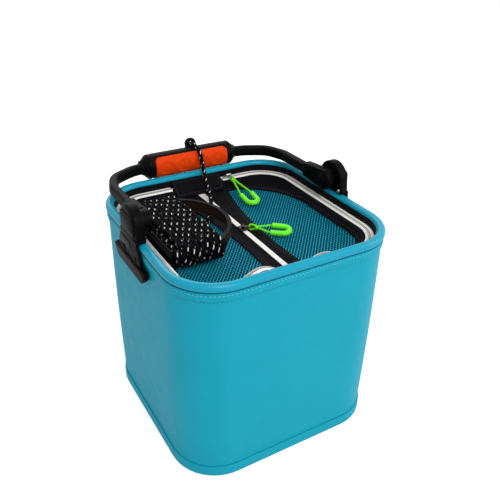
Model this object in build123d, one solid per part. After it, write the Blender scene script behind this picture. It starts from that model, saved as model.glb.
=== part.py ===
from build123d import *
import os
from math import atan2, cos, degrees, pi, radians, sin, sqrt, tan
import numpy as np

# Square collapsible fishing bucket with a zipped mesh lid, a swing handle and a wound draw rope.
# Millimetres. +X is the right side, +Y the back, where the grip rests, and +Z is up.
# The origin is the middle of the underside. Names that end in _Z are heights above it.

# Bucket body
RIM_Z = 230.0
RIM_HALF = 115.0
RIM_CORNER = 47.7
PIPING_DIAMETER = 9.0
CORE_DIAMETER = 4.0
BASE_HALF = 115.0
BASE_CORNER = 49.0
WALL_FLARE = 2.0
WALL_THICKNESS = 2.0
BASE_THICKNESS = 3.0
WELD_BAND_HEIGHT = 12.0
WELD_BAND_THICKNESS = 1.2
HEM_HEIGHT = 14.4
HEM_THICKNESS = 1.0

# Clearances
SEAT_GAP = 0.3
FIT_GAP = 0.1
PIN_GAP = 0.05

# Lid and zips
ZIP_DROP = 7.0
ZIP_THICKNESS = 1.2
ZIP_HALF_WIDTH = 3.1
TAPE_THICKNESS = 0.6
LID_DROP = 17.5
LID_THICKNESS = 1.2
LID_EDGE_RUN = 17.0
NET_THICKNESS = 0.8
NET_MARGIN = 3.5
NET_BAR = 3.0
NET_CELL_X = 8.0
NET_CELL_Y = 14.0
CENTER_ZIP_WIDTH = 5.4
CENTER_ZIP_THICKNESS = 1.4
CENTER_ZIP_FRONT_MARGIN = 6.0
CENTER_ZIP_BACK_MARGIN = 8.0
PATCH_WIDTH = 60.0
HINGE_INSET = 6.6
HINGE_DROP = 4.2

# Zip sliders and pulls
SLIDER_LENGTH = 11.0
SLIDER_WALL = 1.2
RIM_SLIDER_X = 41.0
CENTER_SLIDER_Y = -4.0
TAB_LENGTH = 9.8
TAB_WIDTH = 4.2
TAB_THICKNESS = 1.0
TAB_HOLE = 3.0
PULL_CORD_DIAMETER = 1.9
PULL_KNOT_DIAMETER = 4.6
PULL_GRIP_DIAMETER = 5.6
PULL_GRIP_LENGTH = 22.0
PULL_GRIP_WIDTH = 18.5
RIM_PULL_LENGTH = 66.0
CENTER_PULL_LENGTH = 54.0
CENTER_PULL_HEADING = -38.0

# Brackets
PIVOT_RISE = 17.5
DOME_RADIUS = 19.5
HOUSING_LAP = 3.2
HOUSING_THICKNESS = 10.2
NECK_PROUD = 1.0
NECK_THICKNESS = 3.0
NECK_TOP_HALF = 21.0
NECK_HALF = 27.0
BAR_HALF = 38.0
BAR_TOP_DROP = 17.0
BAR_BOTTOM_DROP = 31.0
BAR_PROUD = 2.5
BAR_CHAMFER = 8.0
CAP_THICKNESS = 1.8
CAP_LENGTH = 33.0
CAP_HEIGHT = 20.0
CAP_CORNER = 5.0
CAP_RISE = 1.5
NECK_SHOULDER_DROP = 9.0
NECK_TOP_RISE = 2.0
NECK_LAP = 3.0
PIN_DIAMETER = 8.0
PIN_HEAD_DIAMETER = 13.0
PIN_HEAD_THICKNESS = 1.4
RIVET_DIAMETER = 3.6
HOUSING_RIVET_RISE = 8.6
HOUSING_RIVET_YS = (-3.0, -16.5)
PLATE_RIVET_DROP = 13.0
PLATE_RIVET_Y = 15.0
RIVET_HEAD_DIAMETER = 7.0
RIVET_HEAD_THICKNESS = 1.0
INLAY_LENGTH = 24.0
INLAY_HEIGHT = 8.0
INLAY_THICKNESS = 0.8
INLAY_Y = 8.0
INLAY_DROP = 3.5

# Handle
GRIP_OUT = 12.0
GRIP_DIAMETER = 28.4
GRIP_LENGTH = 108.0
INSERT_LENGTH = 91.0
INSERT_THICKNESS = 3.4
INSERT_PROUD = 0.3
INSERT_HALF_ANGLE = 59.0
DIMPLE_RADIUS = 8.0
DIMPLE_DEPTH = 0.9
DIMPLE_PITCH = 21.5
ARM_WIDTH = 10.0
ARM_HEIGHT = 12.5
ARM_INSET = 8.8
ARM_STRAIGHT_FROM_GRIP = 43.0
ARM_BEND_FROM_GRIP = (43.0, 18.0)
ARM_SHOULDER_FROM_GRIP = (18.5, 5.0)
ARM_END_FROM_GRIP = 1.0
ARM_BEND_RADII = (30.0, 24.0, 22.0)
ARM_CORNER = 4.5
GRIP_END_ROUND = 3.0
BOOT_THICKNESS = 10.6
BOOT_RADIUS = 11.5
BOOT_LENGTH = 38.0
BOOT_END_HEIGHT = 16.0
BOOT_END_ROUND = 2.5
LUG_RADIUS = 7.0
LUG_THICKNESS = 3.6
LUG_HOLE = 5.6
LUG_ANGLE = 110.0
LUG_HOLE_RISE = 3.2
LUG_ROOT = 3.0
LUG_X = 6.0
INSERT_X = 0.0
SCREW_DIAMETER = 3.0
SCREW_HEAD_DIAMETER = 5.6
SCREW_HEAD_THICKNESS = 1.6
SCREW_SINK = 2.0
SCREW_LENGTH = 10.0

# Draw rope and its winder
ROPE_DIAMETER = 4.5
ROPE_PITCH = 4.95
ROPE_TURNS = 9
CORE_PLATE_THICKNESS = 5.2
WINDER_INSET = 64.5
ROPE_FRONT_Y = -40.0
ROPE_BACK_Y = 57.5
ROPE_EXIT_Y = -38.0
BOW_REACH = 30.4
BOW_HEIGHT = 10.0
BOW_THICKNESS = 3.0
RAIL_GAP = 3.1
RAIL_DROP = 4.0
RAIL_END = 3.0
FLANGE_END = 3.0
BOW_MIDDLE_Y = 9.0
STRUT_HEIGHT = 3.0
STRUT_WIDTH = 4.0
STRUT_START_Y = -38.0
STRUT_END_REACH = 23.0
STRUT_END_Y = -20.0

# Heights and places that follow from the sizes above
PIPING_RADIUS = PIPING_DIAMETER / 2
WALL_TOP_HALF = RIM_HALF + WALL_FLARE
LID_FLOOR_HALF = RIM_HALF - LID_EDGE_RUN
HINGE_Y = RIM_HALF - HINGE_INSET
HOUSING_INNER = RIM_HALF - HOUSING_LAP
ARM_X = RIM_HALF - ARM_INSET
ROPE_FIRST_X = WINDER_INSET - RIM_HALF
RAIL_X = ROPE_FIRST_X + RAIL_GAP
BOW_REACH_X = RAIL_X + BOW_REACH
STRUT_END_X = RAIL_X + STRUT_END_REACH
CENTER_ZIP_FRONT = CENTER_ZIP_FRONT_MARGIN - LID_FLOOR_HALF
CENTER_ZIP_BACK = LID_FLOOR_HALF - CENTER_ZIP_BACK_MARGIN
STRAIGHT_HALF = RIM_HALF - RIM_CORNER
WALL_TOP_Z = RIM_Z - PIPING_RADIUS - SEAT_GAP
ZIP_TOP_Z = RIM_Z - ZIP_DROP
LID_FLOOR_Z = RIM_Z - LID_DROP
PIVOT_Z = RIM_Z + PIVOT_RISE
HOUSING_OUTER = HOUSING_INNER + HOUSING_THICKNESS
NECK_OUTER = HOUSING_OUTER + NECK_PROUD
BAR_OUTER = HOUSING_OUTER + BAR_PROUD
TAPE_OUTER_HALF = RIM_HALF - PIPING_RADIUS - SEAT_GAP
TAPE_INNER_HALF = TAPE_OUTER_HALF - TAPE_THICKNESS
RIM_ZIP_INNER_HALF = TAPE_INNER_HALF - ZIP_HALF_WIDTH
LID_ZIP_OUTER_HALF = RIM_ZIP_INNER_HALF - SEAT_GAP
LID_ZIP_INNER_HALF = LID_ZIP_OUTER_HALF - ZIP_HALF_WIDTH
GRIP_RADIUS = GRIP_DIAMETER / 2
GRIP_REACH = RIM_HALF + GRIP_OUT
GRIP_SEAT = GRIP_RADIUS + INSERT_PROUD + PIPING_RADIUS + SEAT_GAP
GRIP_Z = RIM_Z + sqrt(GRIP_SEAT**2 - GRIP_OUT**2)
HANDLE_TILT = degrees(atan2(PIVOT_Z - GRIP_Z, GRIP_REACH))
ROPE_RADIUS = ROPE_DIAMETER / 2
INNER_TURN = CORE_PLATE_THICKNESS / 2 + FIT_GAP + ROPE_RADIUS
OUTER_TURN = INNER_TURN + ROPE_PITCH
WINDER_Z = LID_FLOOR_Z + SEAT_GAP + ROPE_RADIUS + OUTER_TURN

nodes = {}


def rounded_square(half, corner, z):
    """Square with rounded corners, centred on the bucket, at a height."""
    return (Pos(0, 0, z) * RectangleRounded(2 * half, 2 * half, corner)).face()


def rim_parallel(half, z):
    """Rounded square whose corners share their centres with the rim's."""
    return rounded_square(half, half - STRAIGHT_HALF, z)


def flat_ring(outer_half, inner_half, low_z, high_z):
    """Flat ring that runs round the mouth beside the rim."""
    plate = extrude(rim_parallel(outer_half, low_z), high_z - low_z)
    return plate - extrude(rim_parallel(inner_half, low_z), high_z - low_z)


def wall_half(z):
    """Outer half width of the tapered wall at a height."""
    return BASE_HALF + (WALL_TOP_HALF - BASE_HALF) * z / WALL_TOP_Z


def wall_corner(z):
    """Outer corner radius of the wall at a height."""
    top_corner = WALL_TOP_HALF - STRAIGHT_HALF
    return BASE_CORNER + (top_corner - BASE_CORNER) * z / WALL_TOP_Z


def wall_layer(offset, low_z, high_z):
    """Solid inside the surface that lies an offset outside the wall."""
    low = rounded_square(wall_half(low_z) + offset, wall_corner(low_z) + offset, low_z)
    high = rounded_square(wall_half(high_z) + offset, wall_corner(high_z) + offset, high_z)
    return loft([low, high], ruled=True)


def wall_ring(inner_offset, outer_offset, low_z, high_z):
    """Band that follows the wall between two offsets."""
    return wall_layer(outer_offset, low_z, high_z) - wall_layer(inner_offset, low_z, high_z)


def both_sides(right):
    """The right-hand piece and its mirror image on the left."""
    return {"right": right, "left": mirror(right, about=Plane.YZ)}


def x_rod(diameter, start_x, end_x, y, z):
    """Round rod along X."""
    disc = Plane(origin=(start_x, y, z), z_dir=(1, 0, 0)) * Circle(diameter / 2)
    return extrude(disc, end_x - start_x)


def side_plate(outline, inner_x, outer_x):
    """Plate across X from an outline of (y, z) corners."""
    face = make_face(Polyline(*[(inner_x, y, z) for y, z in outline], close=True))
    return extrude(face, outer_x - inner_x, dir=(1, 0, 0))


# Base and wall
base_half = BASE_HALF - WALL_THICKNESS - SEAT_GAP
nodes["base_panel"] = extrude(rounded_square(base_half, BASE_CORNER - WALL_THICKNESS, 0), BASE_THICKNESS)
nodes["base_weld_band"] = wall_ring(SEAT_GAP, SEAT_GAP + WELD_BAND_THICKNESS, 0, WELD_BAND_HEIGHT)
wall = wall_ring(-WALL_THICKNESS, 0, 0, WALL_TOP_Z)

# Rim: piping over a stiff core, a stitched hem and the tape that carries the zip
def rim_tube(diameter):
    """Round rod bent round the mouth: four straight rods and four quarter bends."""
    straight = Plane(origin=(RIM_HALF, -STRAIGHT_HALF, RIM_Z), z_dir=(0, 1, 0)) * Circle(diameter / 2)
    side = extrude(straight, 2 * STRAIGHT_HALF)
    bend_face = Plane(origin=(RIM_HALF, STRAIGHT_HALF, RIM_Z), z_dir=(0, 1, 0)) * Circle(diameter / 2)
    bend_axis = Axis((STRAIGHT_HALF, STRAIGHT_HALF, RIM_Z), (0, 0, 1))
    bend = revolve(bend_face, bend_axis, 90)
    quarter = side + bend
    return Part() + [Rot(0, 0, 90 * turn) * quarter for turn in range(4)]


nodes["rim_core"] = rim_tube(CORE_DIAMETER)
nodes["rim_piping"] = rim_tube(PIPING_DIAMETER) - rim_tube(CORE_DIAMETER + 2 * FIT_GAP)
hem_top_z = WALL_TOP_Z
nodes["hem_band"] = wall_ring(SEAT_GAP, SEAT_GAP + HEM_THICKNESS, hem_top_z - HEM_HEIGHT, hem_top_z)
nodes["zip_tape_wall"] = flat_ring(
    TAPE_OUTER_HALF, TAPE_INNER_HALF, ZIP_TOP_Z - ZIP_THICKNESS, RIM_Z - SEAT_GAP
)

# Perimeter zip, in two halves that part all round except at the hinge patch
zip_low_z = ZIP_TOP_Z - ZIP_THICKNESS
gap_depth = 4 * ZIP_HALF_WIDTH
hinge_gap = Pos(0, HINGE_Y, ZIP_TOP_Z) * Box(PATCH_WIDTH + 2 * SEAT_GAP, 2 * gap_depth, gap_depth)
nodes["zip_half_rim"] = flat_ring(TAPE_INNER_HALF, RIM_ZIP_INNER_HALF, zip_low_z, ZIP_TOP_Z) - hinge_gap
nodes["zip_half_lid"] = flat_ring(LID_ZIP_OUTER_HALF, LID_ZIP_INNER_HALF, zip_low_z, ZIP_TOP_Z) - hinge_gap

# Lid: a flat floor with two windows, and a sloping edge that bends in past the handle as the lid opens
lid_edge_z = ZIP_TOP_Z - ZIP_THICKNESS / 2
lid_under_z = LID_FLOOR_Z - LID_THICKNESS


def lid_slope(inset):
    """Solid inside the sloping border, drawn in by an inset."""
    low = rim_parallel(LID_FLOOR_HALF - inset, LID_FLOOR_Z)
    high = rim_parallel(LID_ZIP_INNER_HALF - inset, lid_edge_z)
    return loft([low, high], ruled=True)


WINDOW_BACK_MARGIN = 8.0
WINDOW_FRONT_MARGIN = 7.0
WINDOW_SIDE_MARGIN = 3.5
WINDOW_BACK_Y = LID_FLOOR_HALF - WINDOW_BACK_MARGIN
WINDOW_FRONT_Y = WINDOW_FRONT_MARGIN - LID_FLOOR_HALF
WINDOW_OUTER_X = LID_FLOOR_HALF - WINDOW_SIDE_MARGIN
WINDOW_INNER_BACK_X = 33.0
WINDOW_INNER_MIDDLE_X = 16.5
WINDOW_INNER_FRONT_X = 19.0
WINDOW_BACK_LENGTH = 11.0
WINDOW_SIDE_BACK_DROP = 68.0
WINDOW_SIDE_FRONT_RISE = 27.0
WINDOW_BACK_ARC_INSET = (15.0, 25.0)
WINDOW_FRONT_ARC_INSET = (7.0, 8.0)
WINDOW_FRONT_LENGTH = 26.0
WINDOW_INNER_MIDDLE_Y = -30.0


def window_face(z):
    """Outline of the right window: straight front and side, large arcs at the back and the centre band."""
    back_inner = (WINDOW_INNER_BACK_X, WINDOW_BACK_Y, z)
    back_outer = (WINDOW_INNER_BACK_X + WINDOW_BACK_LENGTH, WINDOW_BACK_Y, z)
    side_back = (WINDOW_OUTER_X, WINDOW_BACK_Y - WINDOW_SIDE_BACK_DROP, z)
    side_front = (WINDOW_OUTER_X, WINDOW_FRONT_Y + WINDOW_SIDE_FRONT_RISE, z)
    front_outer = (WINDOW_OUTER_X - WINDOW_FRONT_LENGTH, WINDOW_FRONT_Y, z)
    back_inset_x, back_inset_y = WINDOW_BACK_ARC_INSET
    front_inset_x, front_inset_y = WINDOW_FRONT_ARC_INSET
    back_middle = (WINDOW_OUTER_X - back_inset_x, WINDOW_BACK_Y - back_inset_y, z)
    front_middle = (WINDOW_OUTER_X - front_inset_x, WINDOW_FRONT_Y + front_inset_y, z)
    front_inner = (WINDOW_INNER_FRONT_X, WINDOW_FRONT_Y, z)
    edges = [
        Line(back_inner, back_outer),
        ThreePointArc(back_outer, back_middle, side_back),
        Line(side_back, side_front),
        ThreePointArc(side_front, front_middle, front_outer),
        Line(front_outer, front_inner),
        ThreePointArc(front_inner, (WINDOW_INNER_MIDDLE_X, WINDOW_INNER_MIDDLE_Y, z), back_inner),
    ]
    return make_face(Wire(edges))


nodes["lid_edge"] = lid_slope(0) - lid_slope(LID_THICKNESS)
lid_floor = extrude(rim_parallel(LID_FLOOR_HALF, lid_under_z), LID_THICKNESS)
window_cut = extrude(window_face(lid_under_z), LID_THICKNESS)
nodes["lid_border"] = lid_floor - window_cut - mirror(window_cut, about=Plane.YZ)


def mesh_net():
    """Flat net under the right window: one face with a grid of holes, given a thickness."""
    top_z = lid_under_z
    face = offset(window_face(top_z), NET_MARGIN)
    inside = offset(window_face(top_z), -NET_BAR / 2)
    columns = int((WINDOW_OUTER_X - WINDOW_INNER_MIDDLE_X) / NET_CELL_X)
    rows = int((WINDOW_BACK_Y - WINDOW_FRONT_Y) / NET_CELL_Y)
    hole = (NET_CELL_X - NET_BAR, NET_CELL_Y - NET_BAR)
    holes = []
    for column in range(columns):
        for row in range(rows):
            x = WINDOW_INNER_MIDDLE_X + (column + 0.5) * NET_CELL_X
            y = WINDOW_FRONT_Y + (row + 0.5) * NET_CELL_Y
            half_x, half_y = hole[0] / 2, hole[1] / 2
            corners = [(x + i * half_x, y + j * half_y, top_z) for i in (-1, 1) for j in (-1, 1)]
            if all(inside.face().is_inside(Vector(*corner)) for corner in corners):
                holes.append(Pos(x, y, top_z) * Rectangle(*hole))
    return extrude(Sketch() + face - holes, NET_THICKNESS, dir=(0, 0, -1)), len(holes)


net, net_holes = mesh_net()
print("gaps in each net", net_holes)
for side, shape in both_sides(net).items():
    nodes["lid_mesh_" + side] = shape

center_zip_middle = (CENTER_ZIP_BACK + CENTER_ZIP_FRONT) / 2
nodes["zip_chain_center"] = (
    Pos(0, center_zip_middle, LID_FLOOR_Z + CENTER_ZIP_THICKNESS / 2)
    * Box(CENTER_ZIP_WIDTH, CENTER_ZIP_BACK - CENTER_ZIP_FRONT, CENTER_ZIP_THICKNESS)
)

# Hinge patch: cloth that joins the lid's edge to the rim at the back
PATCH_THICKNESS = 1.3
PATCH_BEND = 0.9
hinge_z = RIM_Z - HINGE_DROP
patch_back_y = HINGE_Y + PATCH_THICKNESS / 2
patch_outline = [
    (LID_ZIP_INNER_HALF, zip_low_z),
    (LID_ZIP_INNER_HALF, zip_low_z + PATCH_THICKNESS),
    (HINGE_Y - PATCH_BEND, hinge_z + PATCH_THICKNESS / 2),
    (patch_back_y, hinge_z + PATCH_THICKNESS / 2),
    (patch_back_y, hinge_z - PATCH_THICKNESS / 2),
    (HINGE_Y - PATCH_BEND, hinge_z - PATCH_THICKNESS / 2),
]
nodes["lid_hinge_patch"] = side_plate(patch_outline, -PATCH_WIDTH / 2, PATCH_WIDTH / 2)


# Sliders and pulls: a tab hinged between two cheeks, a knotted cord loop and a moulded grip
CHEEK_THICKNESS = 1.2
CHEEK_LENGTH = 3.4
CHEEK_HEIGHT = 3.0
TRUNNION_DIAMETER = 1.6
TRUNNION_RISE = 1.7
KNUCKLE_DIAMETER = 3.0
RIM_SLIDER_WIDTH = 6.5
RIM_CHEEK_INSET = 1.4
LINK_RADIUS = 2.6
cheek_gap = TAB_WIDTH + 2 * FIT_GAP


def slider_cheeks(heading):
    """Two cheeks on the top of a slider, with the holes that a tab turns in."""
    cheeks = Part()
    for side in (-1, 1):
        middle_y = side * (cheek_gap + CHEEK_THICKNESS) / 2
        cheeks += Pos(0, middle_y, CHEEK_HEIGHT / 2) * Box(CHEEK_LENGTH, CHEEK_THICKNESS, CHEEK_HEIGHT)
    hole = Pos(0, 0, TRUNNION_RISE) * Rot(90, 0, 0) * Cylinder(TRUNNION_DIAMETER / 2 + PIN_GAP, 4 * TAB_WIDTH)
    return Rot(0, 0, heading) * (cheeks - hole)


def pull_tab():
    """Flat tab with a knuckle and trunnions at its hinge and a hole for the cord at its far end."""
    plate = Pos(TAB_LENGTH / 2, 0, 0) * Box(TAB_LENGTH, TAB_WIDTH, TAB_THICKNESS)
    knuckle = Rot(90, 0, 0) * Cylinder(KNUCKLE_DIAMETER / 2, TAB_WIDTH)
    trunnions = Rot(90, 0, 0) * Cylinder(TRUNNION_DIAMETER / 2, cheek_gap + 2 * CHEEK_THICKNESS)
    hole = Pos(TAB_LENGTH - TAB_HOLE, 0, 0) * Cylinder(TAB_HOLE / 2, 4 * TAB_THICKNESS)
    return plate + knuckle + trunnions - hole


def pull_cord(length):
    """Cord: a ring through the tab, a knot, and two strands that spread to the grip's ends."""
    ring_x = TAB_LENGTH - TAB_HOLE + LINK_RADIUS
    knot_x = ring_x + LINK_RADIUS + PULL_KNOT_DIAMETER / 2 - PULL_CORD_DIAMETER / 2
    ring = Pos(ring_x, 0, 0) * Rot(90, 0, 0) * Torus(LINK_RADIUS, PULL_CORD_DIAMETER / 2)
    cord = ring + Pos(knot_x, 0, 0) * Sphere(PULL_KNOT_DIAMETER / 2)
    grip_x = length - PULL_GRIP_LENGTH
    for side in (-1, 1):
        start = Vector(knot_x, 0, 0)
        end = Vector(grip_x, side * (PULL_GRIP_WIDTH - PULL_GRIP_DIAMETER) / 2, 0)
        strand = Plane(origin=start, z_dir=end - start) * Circle(PULL_CORD_DIAMETER / 2)
        beyond_end = Pos(grip_x + length / 2, 0, 0) * Box(length, length, length)
        cord += extrude(strand, (end - start).length + PULL_CORD_DIAMETER) - beyond_end
    return cord


def pull_grip(length):
    """Moulded grip: a U of round section that the cord's two ends go into."""
    bend = (PULL_GRIP_WIDTH - PULL_GRIP_DIAMETER) / 2
    start_x = length - PULL_GRIP_LENGTH
    bend_x = length - bend - PULL_GRIP_DIAMETER / 2
    face = Plane(origin=(bend_x, bend, 0), z_dir=(1, 0, 0)) * Circle(PULL_GRIP_DIAMETER / 2)
    grip = revolve(face, Axis((bend_x, 0, 0), (0, 0, 1)), -180)
    for side in (-1, 1):
        leg = Plane(origin=(start_x, side * bend, 0), z_dir=(1, 0, 0)) * Circle(PULL_GRIP_DIAMETER / 2)
        grip += extrude(leg, bend_x - start_x)
    return grip


def place_pull(name, x, y, top_z, heading, length):
    """Hang a pull on the cheeks of its slider, dipping until its grip lies on the lid."""
    hinge_height = top_z + TRUNNION_RISE
    rest_height = LID_FLOOR_Z + SEAT_GAP + PULL_GRIP_DIAMETER / 2
    dip = degrees(atan2(hinge_height - rest_height, length - PULL_GRIP_DIAMETER / 2))
    place = Pos(x, y, hinge_height) * Rot(0, 0, heading) * Rot(0, dip, 0)
    nodes["pull_tab_" + name] = place * pull_tab()
    nodes["pull_cord_" + name] = place * pull_cord(length)
    nodes["pull_grip_" + name] = place * pull_grip(length)
    print("pull", name, "hinge", x, y, round(hinge_height, 3), "heading", heading, "dip", round(dip, 2))


rim_slider_low_z = ZIP_TOP_Z + SEAT_GAP
rim_slider_top_z = rim_slider_low_z + SLIDER_WALL
rim_slider_y = LID_ZIP_INNER_HALF - SLIDER_WALL + RIM_SLIDER_WIDTH / 2
rim_cheek_y = rim_slider_y - RIM_CHEEK_INSET
nodes["slider_rim"] = (
    Pos(RIM_SLIDER_X, rim_slider_y, rim_slider_low_z + SLIDER_WALL / 2)
    * Box(SLIDER_LENGTH, RIM_SLIDER_WIDTH, SLIDER_WALL)
    + Pos(RIM_SLIDER_X, rim_cheek_y, rim_slider_top_z) * slider_cheeks(-90)
)
place_pull("rim", RIM_SLIDER_X, rim_cheek_y, rim_slider_top_z, -90, RIM_PULL_LENGTH)

center_slider_width = CENTER_ZIP_WIDTH + 2 * (SEAT_GAP + SLIDER_WALL)
center_slider_top_z = LID_FLOOR_Z + CENTER_ZIP_THICKNESS + SEAT_GAP + SLIDER_WALL
center_slider_height = CENTER_ZIP_THICKNESS + SLIDER_WALL
center_slider_block = Box(center_slider_width, SLIDER_LENGTH, center_slider_height)
center_slider_slot = Pos(0, 0, -SLIDER_WALL) * Box(
    CENTER_ZIP_WIDTH + 2 * SEAT_GAP, SLIDER_LENGTH, center_slider_height
)
nodes["slider_center"] = (
    Pos(0, CENTER_SLIDER_Y, center_slider_top_z - center_slider_height / 2)
    * (center_slider_block - center_slider_slot)
    + Pos(0, CENTER_SLIDER_Y, center_slider_top_z) * slider_cheeks(CENTER_PULL_HEADING)
)
place_pull("center", 0, CENTER_SLIDER_Y, center_slider_top_z, CENTER_PULL_HEADING, CENTER_PULL_LENGTH)

# Brackets: a domed housing over the piping, with a plate that reaches down the wall outside
housing_low_z = RIM_Z + PIPING_RADIUS + SEAT_GAP
dome = x_rod(2 * DOME_RADIUS, HOUSING_INNER, HOUSING_OUTER, 0, PIVOT_Z)
below_dome = Box(4 * DOME_RADIUS, 4 * DOME_RADIUS, 2 * DOME_RADIUS)
dome = dome - Pos(RIM_HALF, 0, housing_low_z - DOME_RADIUS) * below_dome
skirt = side_plate(
    [
        (-DOME_RADIUS, PIVOT_Z),
        (DOME_RADIUS, PIVOT_Z),
        (NECK_TOP_HALF, housing_low_z),
        (-NECK_TOP_HALF, housing_low_z),
    ],
    HOUSING_INNER,
    HOUSING_OUTER,
)
neck_inner = NECK_OUTER - NECK_THICKNESS
neck = side_plate(
    [
        (-NECK_TOP_HALF, housing_low_z + NECK_LAP),
        (NECK_TOP_HALF, housing_low_z + NECK_LAP),
        (NECK_TOP_HALF, RIM_Z + NECK_TOP_RISE),
        (NECK_HALF, RIM_Z - NECK_SHOULDER_DROP),
        (NECK_HALF, RIM_Z - BAR_TOP_DROP),
        (-NECK_HALF, RIM_Z - BAR_TOP_DROP),
        (-NECK_HALF, RIM_Z - NECK_SHOULDER_DROP),
        (-NECK_TOP_HALF, RIM_Z + NECK_TOP_RISE),
    ],
    neck_inner,
    NECK_OUTER,
)
bar = side_plate(
    [
        (-BAR_HALF, RIM_Z - BAR_TOP_DROP),
        (BAR_HALF, RIM_Z - BAR_TOP_DROP),
        (BAR_HALF, RIM_Z - BAR_BOTTOM_DROP + BAR_CHAMFER),
        (BAR_HALF - BAR_CHAMFER, RIM_Z - BAR_BOTTOM_DROP),
        (-BAR_HALF + BAR_CHAMFER, RIM_Z - BAR_BOTTOM_DROP),
        (-BAR_HALF, RIM_Z - BAR_BOTTOM_DROP + BAR_CHAMFER),
    ],
    WALL_TOP_HALF - WALL_THICKNESS,
    BAR_OUTER,
)
bar = bar - wall_layer(2 * SEAT_GAP + HEM_THICKNESS, RIM_Z - 2 * BAR_BOTTOM_DROP, hem_top_z)
bracket = dome + skirt + neck + bar

pin_hole_depth = HOUSING_OUTER - CAP_THICKNESS
bracket = bracket - x_rod(PIN_DIAMETER, HOUSING_INNER, pin_hole_depth, 0, PIVOT_Z)
housing_rivet_spots = [(y, RIM_Z + HOUSING_RIVET_RISE) for y in HOUSING_RIVET_YS]
housing_rivets = Part()
for spot in housing_rivet_spots:
    rivet = x_rod(RIVET_DIAMETER, HOUSING_INNER, HOUSING_OUTER, *spot)
    bracket = bracket - rivet
    housing_rivets += rivet
plate_rivets = Part()
rivet_z = RIM_Z - PLATE_RIVET_DROP
rivet_inner = wall_half(rivet_z) - WALL_THICKNESS - SEAT_GAP
rivet_end = rivet_inner - RIVET_HEAD_THICKNESS
for rivet_y in (-PLATE_RIVET_Y, PLATE_RIVET_Y):
    shank = x_rod(RIVET_DIAMETER, rivet_end, NECK_OUTER, rivet_y, rivet_z)
    washer = x_rod(RIVET_HEAD_DIAMETER, rivet_end, rivet_inner, rivet_y, rivet_z)
    head = x_rod(RIVET_HEAD_DIAMETER, NECK_OUTER, NECK_OUTER + RIVET_HEAD_THICKNESS, rivet_y, rivet_z)
    plate_rivets += shank + washer + head
    hole = x_rod(RIVET_DIAMETER, rivet_end, NECK_OUTER, rivet_y, rivet_z)
    wide_hole = x_rod(RIVET_DIAMETER + 2 * SEAT_GAP, rivet_end, NECK_OUTER, rivet_y, rivet_z)
    bracket = bracket - hole
    nodes["hem_band"] = nodes["hem_band"] - wide_hole - mirror(wide_hole, about=Plane.YZ)
    wall = wall - wide_hole - mirror(wide_hole, about=Plane.YZ)
nodes["wall_shell"] = wall

inlay_x = NECK_OUTER + INLAY_THICKNESS / 2
inlay = Pos(inlay_x, INLAY_Y, RIM_Z - INLAY_DROP) * Box(INLAY_THICKNESS, INLAY_LENGTH, INLAY_HEIGHT)
cap_plane = Plane(origin=(HOUSING_OUTER, 0, PIVOT_Z + CAP_RISE), x_dir=(0, 1, 0), z_dir=(1, 0, 0))
cap_face = cap_plane * RectangleRounded(CAP_LENGTH, CAP_HEIGHT, CAP_CORNER)
hub_cap = extrude(cap_face, CAP_THICKNESS)
pin_start = ARM_X - BOOT_THICKNESS / 2 - SEAT_GAP
pivot_pin = x_rod(PIN_DIAMETER, pin_start, pin_hole_depth, 0, PIVOT_Z)
pivot_pin += x_rod(PIN_HEAD_DIAMETER, pin_start - PIN_HEAD_THICKNESS, pin_start, 0, PIVOT_Z)
bracket_pieces = {"bracket": bracket, "hub_cap": hub_cap, "pivot_pin": pivot_pin, "bracket_inlay": inlay}
for name, piece in bracket_pieces.items():
    for side, shape in both_sides(piece).items():
        nodes[name + "_" + side] = shape
nodes["housing_rivets"] = housing_rivets + mirror(housing_rivets, about=Plane.YZ)
nodes["plate_rivets"] = plate_rivets + mirror(plate_rivets, about=Plane.YZ)


# Handle, drawn about its pivot axis at the origin and then set on the pivots
def placed_handle(shape):
    """Tilt a handle piece so that the grip rests on the piping, and lift it to the pivots."""
    return Pos(0, 0, PIVOT_Z) * Rot(-HANDLE_TILT, 0, 0) * shape


boot_inner = ARM_X - BOOT_THICKNESS / 2
boot_outer = ARM_X + BOOT_THICKNESS / 2
boot = x_rod(2 * BOOT_RADIUS, boot_inner, boot_outer, 0, 0)
boot += side_plate(
    [
        (0, -BOOT_RADIUS),
        (BOOT_LENGTH, -BOOT_END_HEIGHT / 2),
        (BOOT_LENGTH, BOOT_END_HEIGHT / 2),
        (0, BOOT_RADIUS),
    ],
    boot_inner,
    boot_outer,
)
boot_end_edges = boot.edges().filter_by(lambda edge: edge.center().Y > BOOT_LENGTH - FIT_GAP)
boot = fillet(boot_end_edges, BOOT_END_ROUND)
boot = boot - x_rod(PIN_DIAMETER + 2 * PIN_GAP, boot_inner, boot_outer, 0, 0)

grip_end = GRIP_LENGTH / 2
bend_x, bend_back = ARM_BEND_FROM_GRIP
shoulder_x, shoulder_back = ARM_SHOULDER_FROM_GRIP
arm_route = [
    (ARM_X, BOOT_LENGTH, 0),
    (ARM_X, GRIP_REACH - ARM_STRAIGHT_FROM_GRIP, 0),
    (grip_end + bend_x, GRIP_REACH - bend_back, 0),
    (grip_end + shoulder_x, GRIP_REACH - shoulder_back, 0),
    (grip_end, GRIP_REACH - ARM_END_FROM_GRIP, 0),
]
arm_path = FilletPolyline(*arm_route, radius=list(ARM_BEND_RADII))
arm_section = Plane(origin=arm_route[0], x_dir=(1, 0, 0), z_dir=(0, 1, 0)) * RectangleRounded(
    ARM_WIDTH, ARM_HEIGHT, ARM_CORNER
)
arm = sweep(arm_section, path=arm_path)
arm = arm - Pos(0, GRIP_REACH, 0) * Box(GRIP_LENGTH, 2 * GRIP_DIAMETER, 2 * GRIP_DIAMETER)

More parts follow.
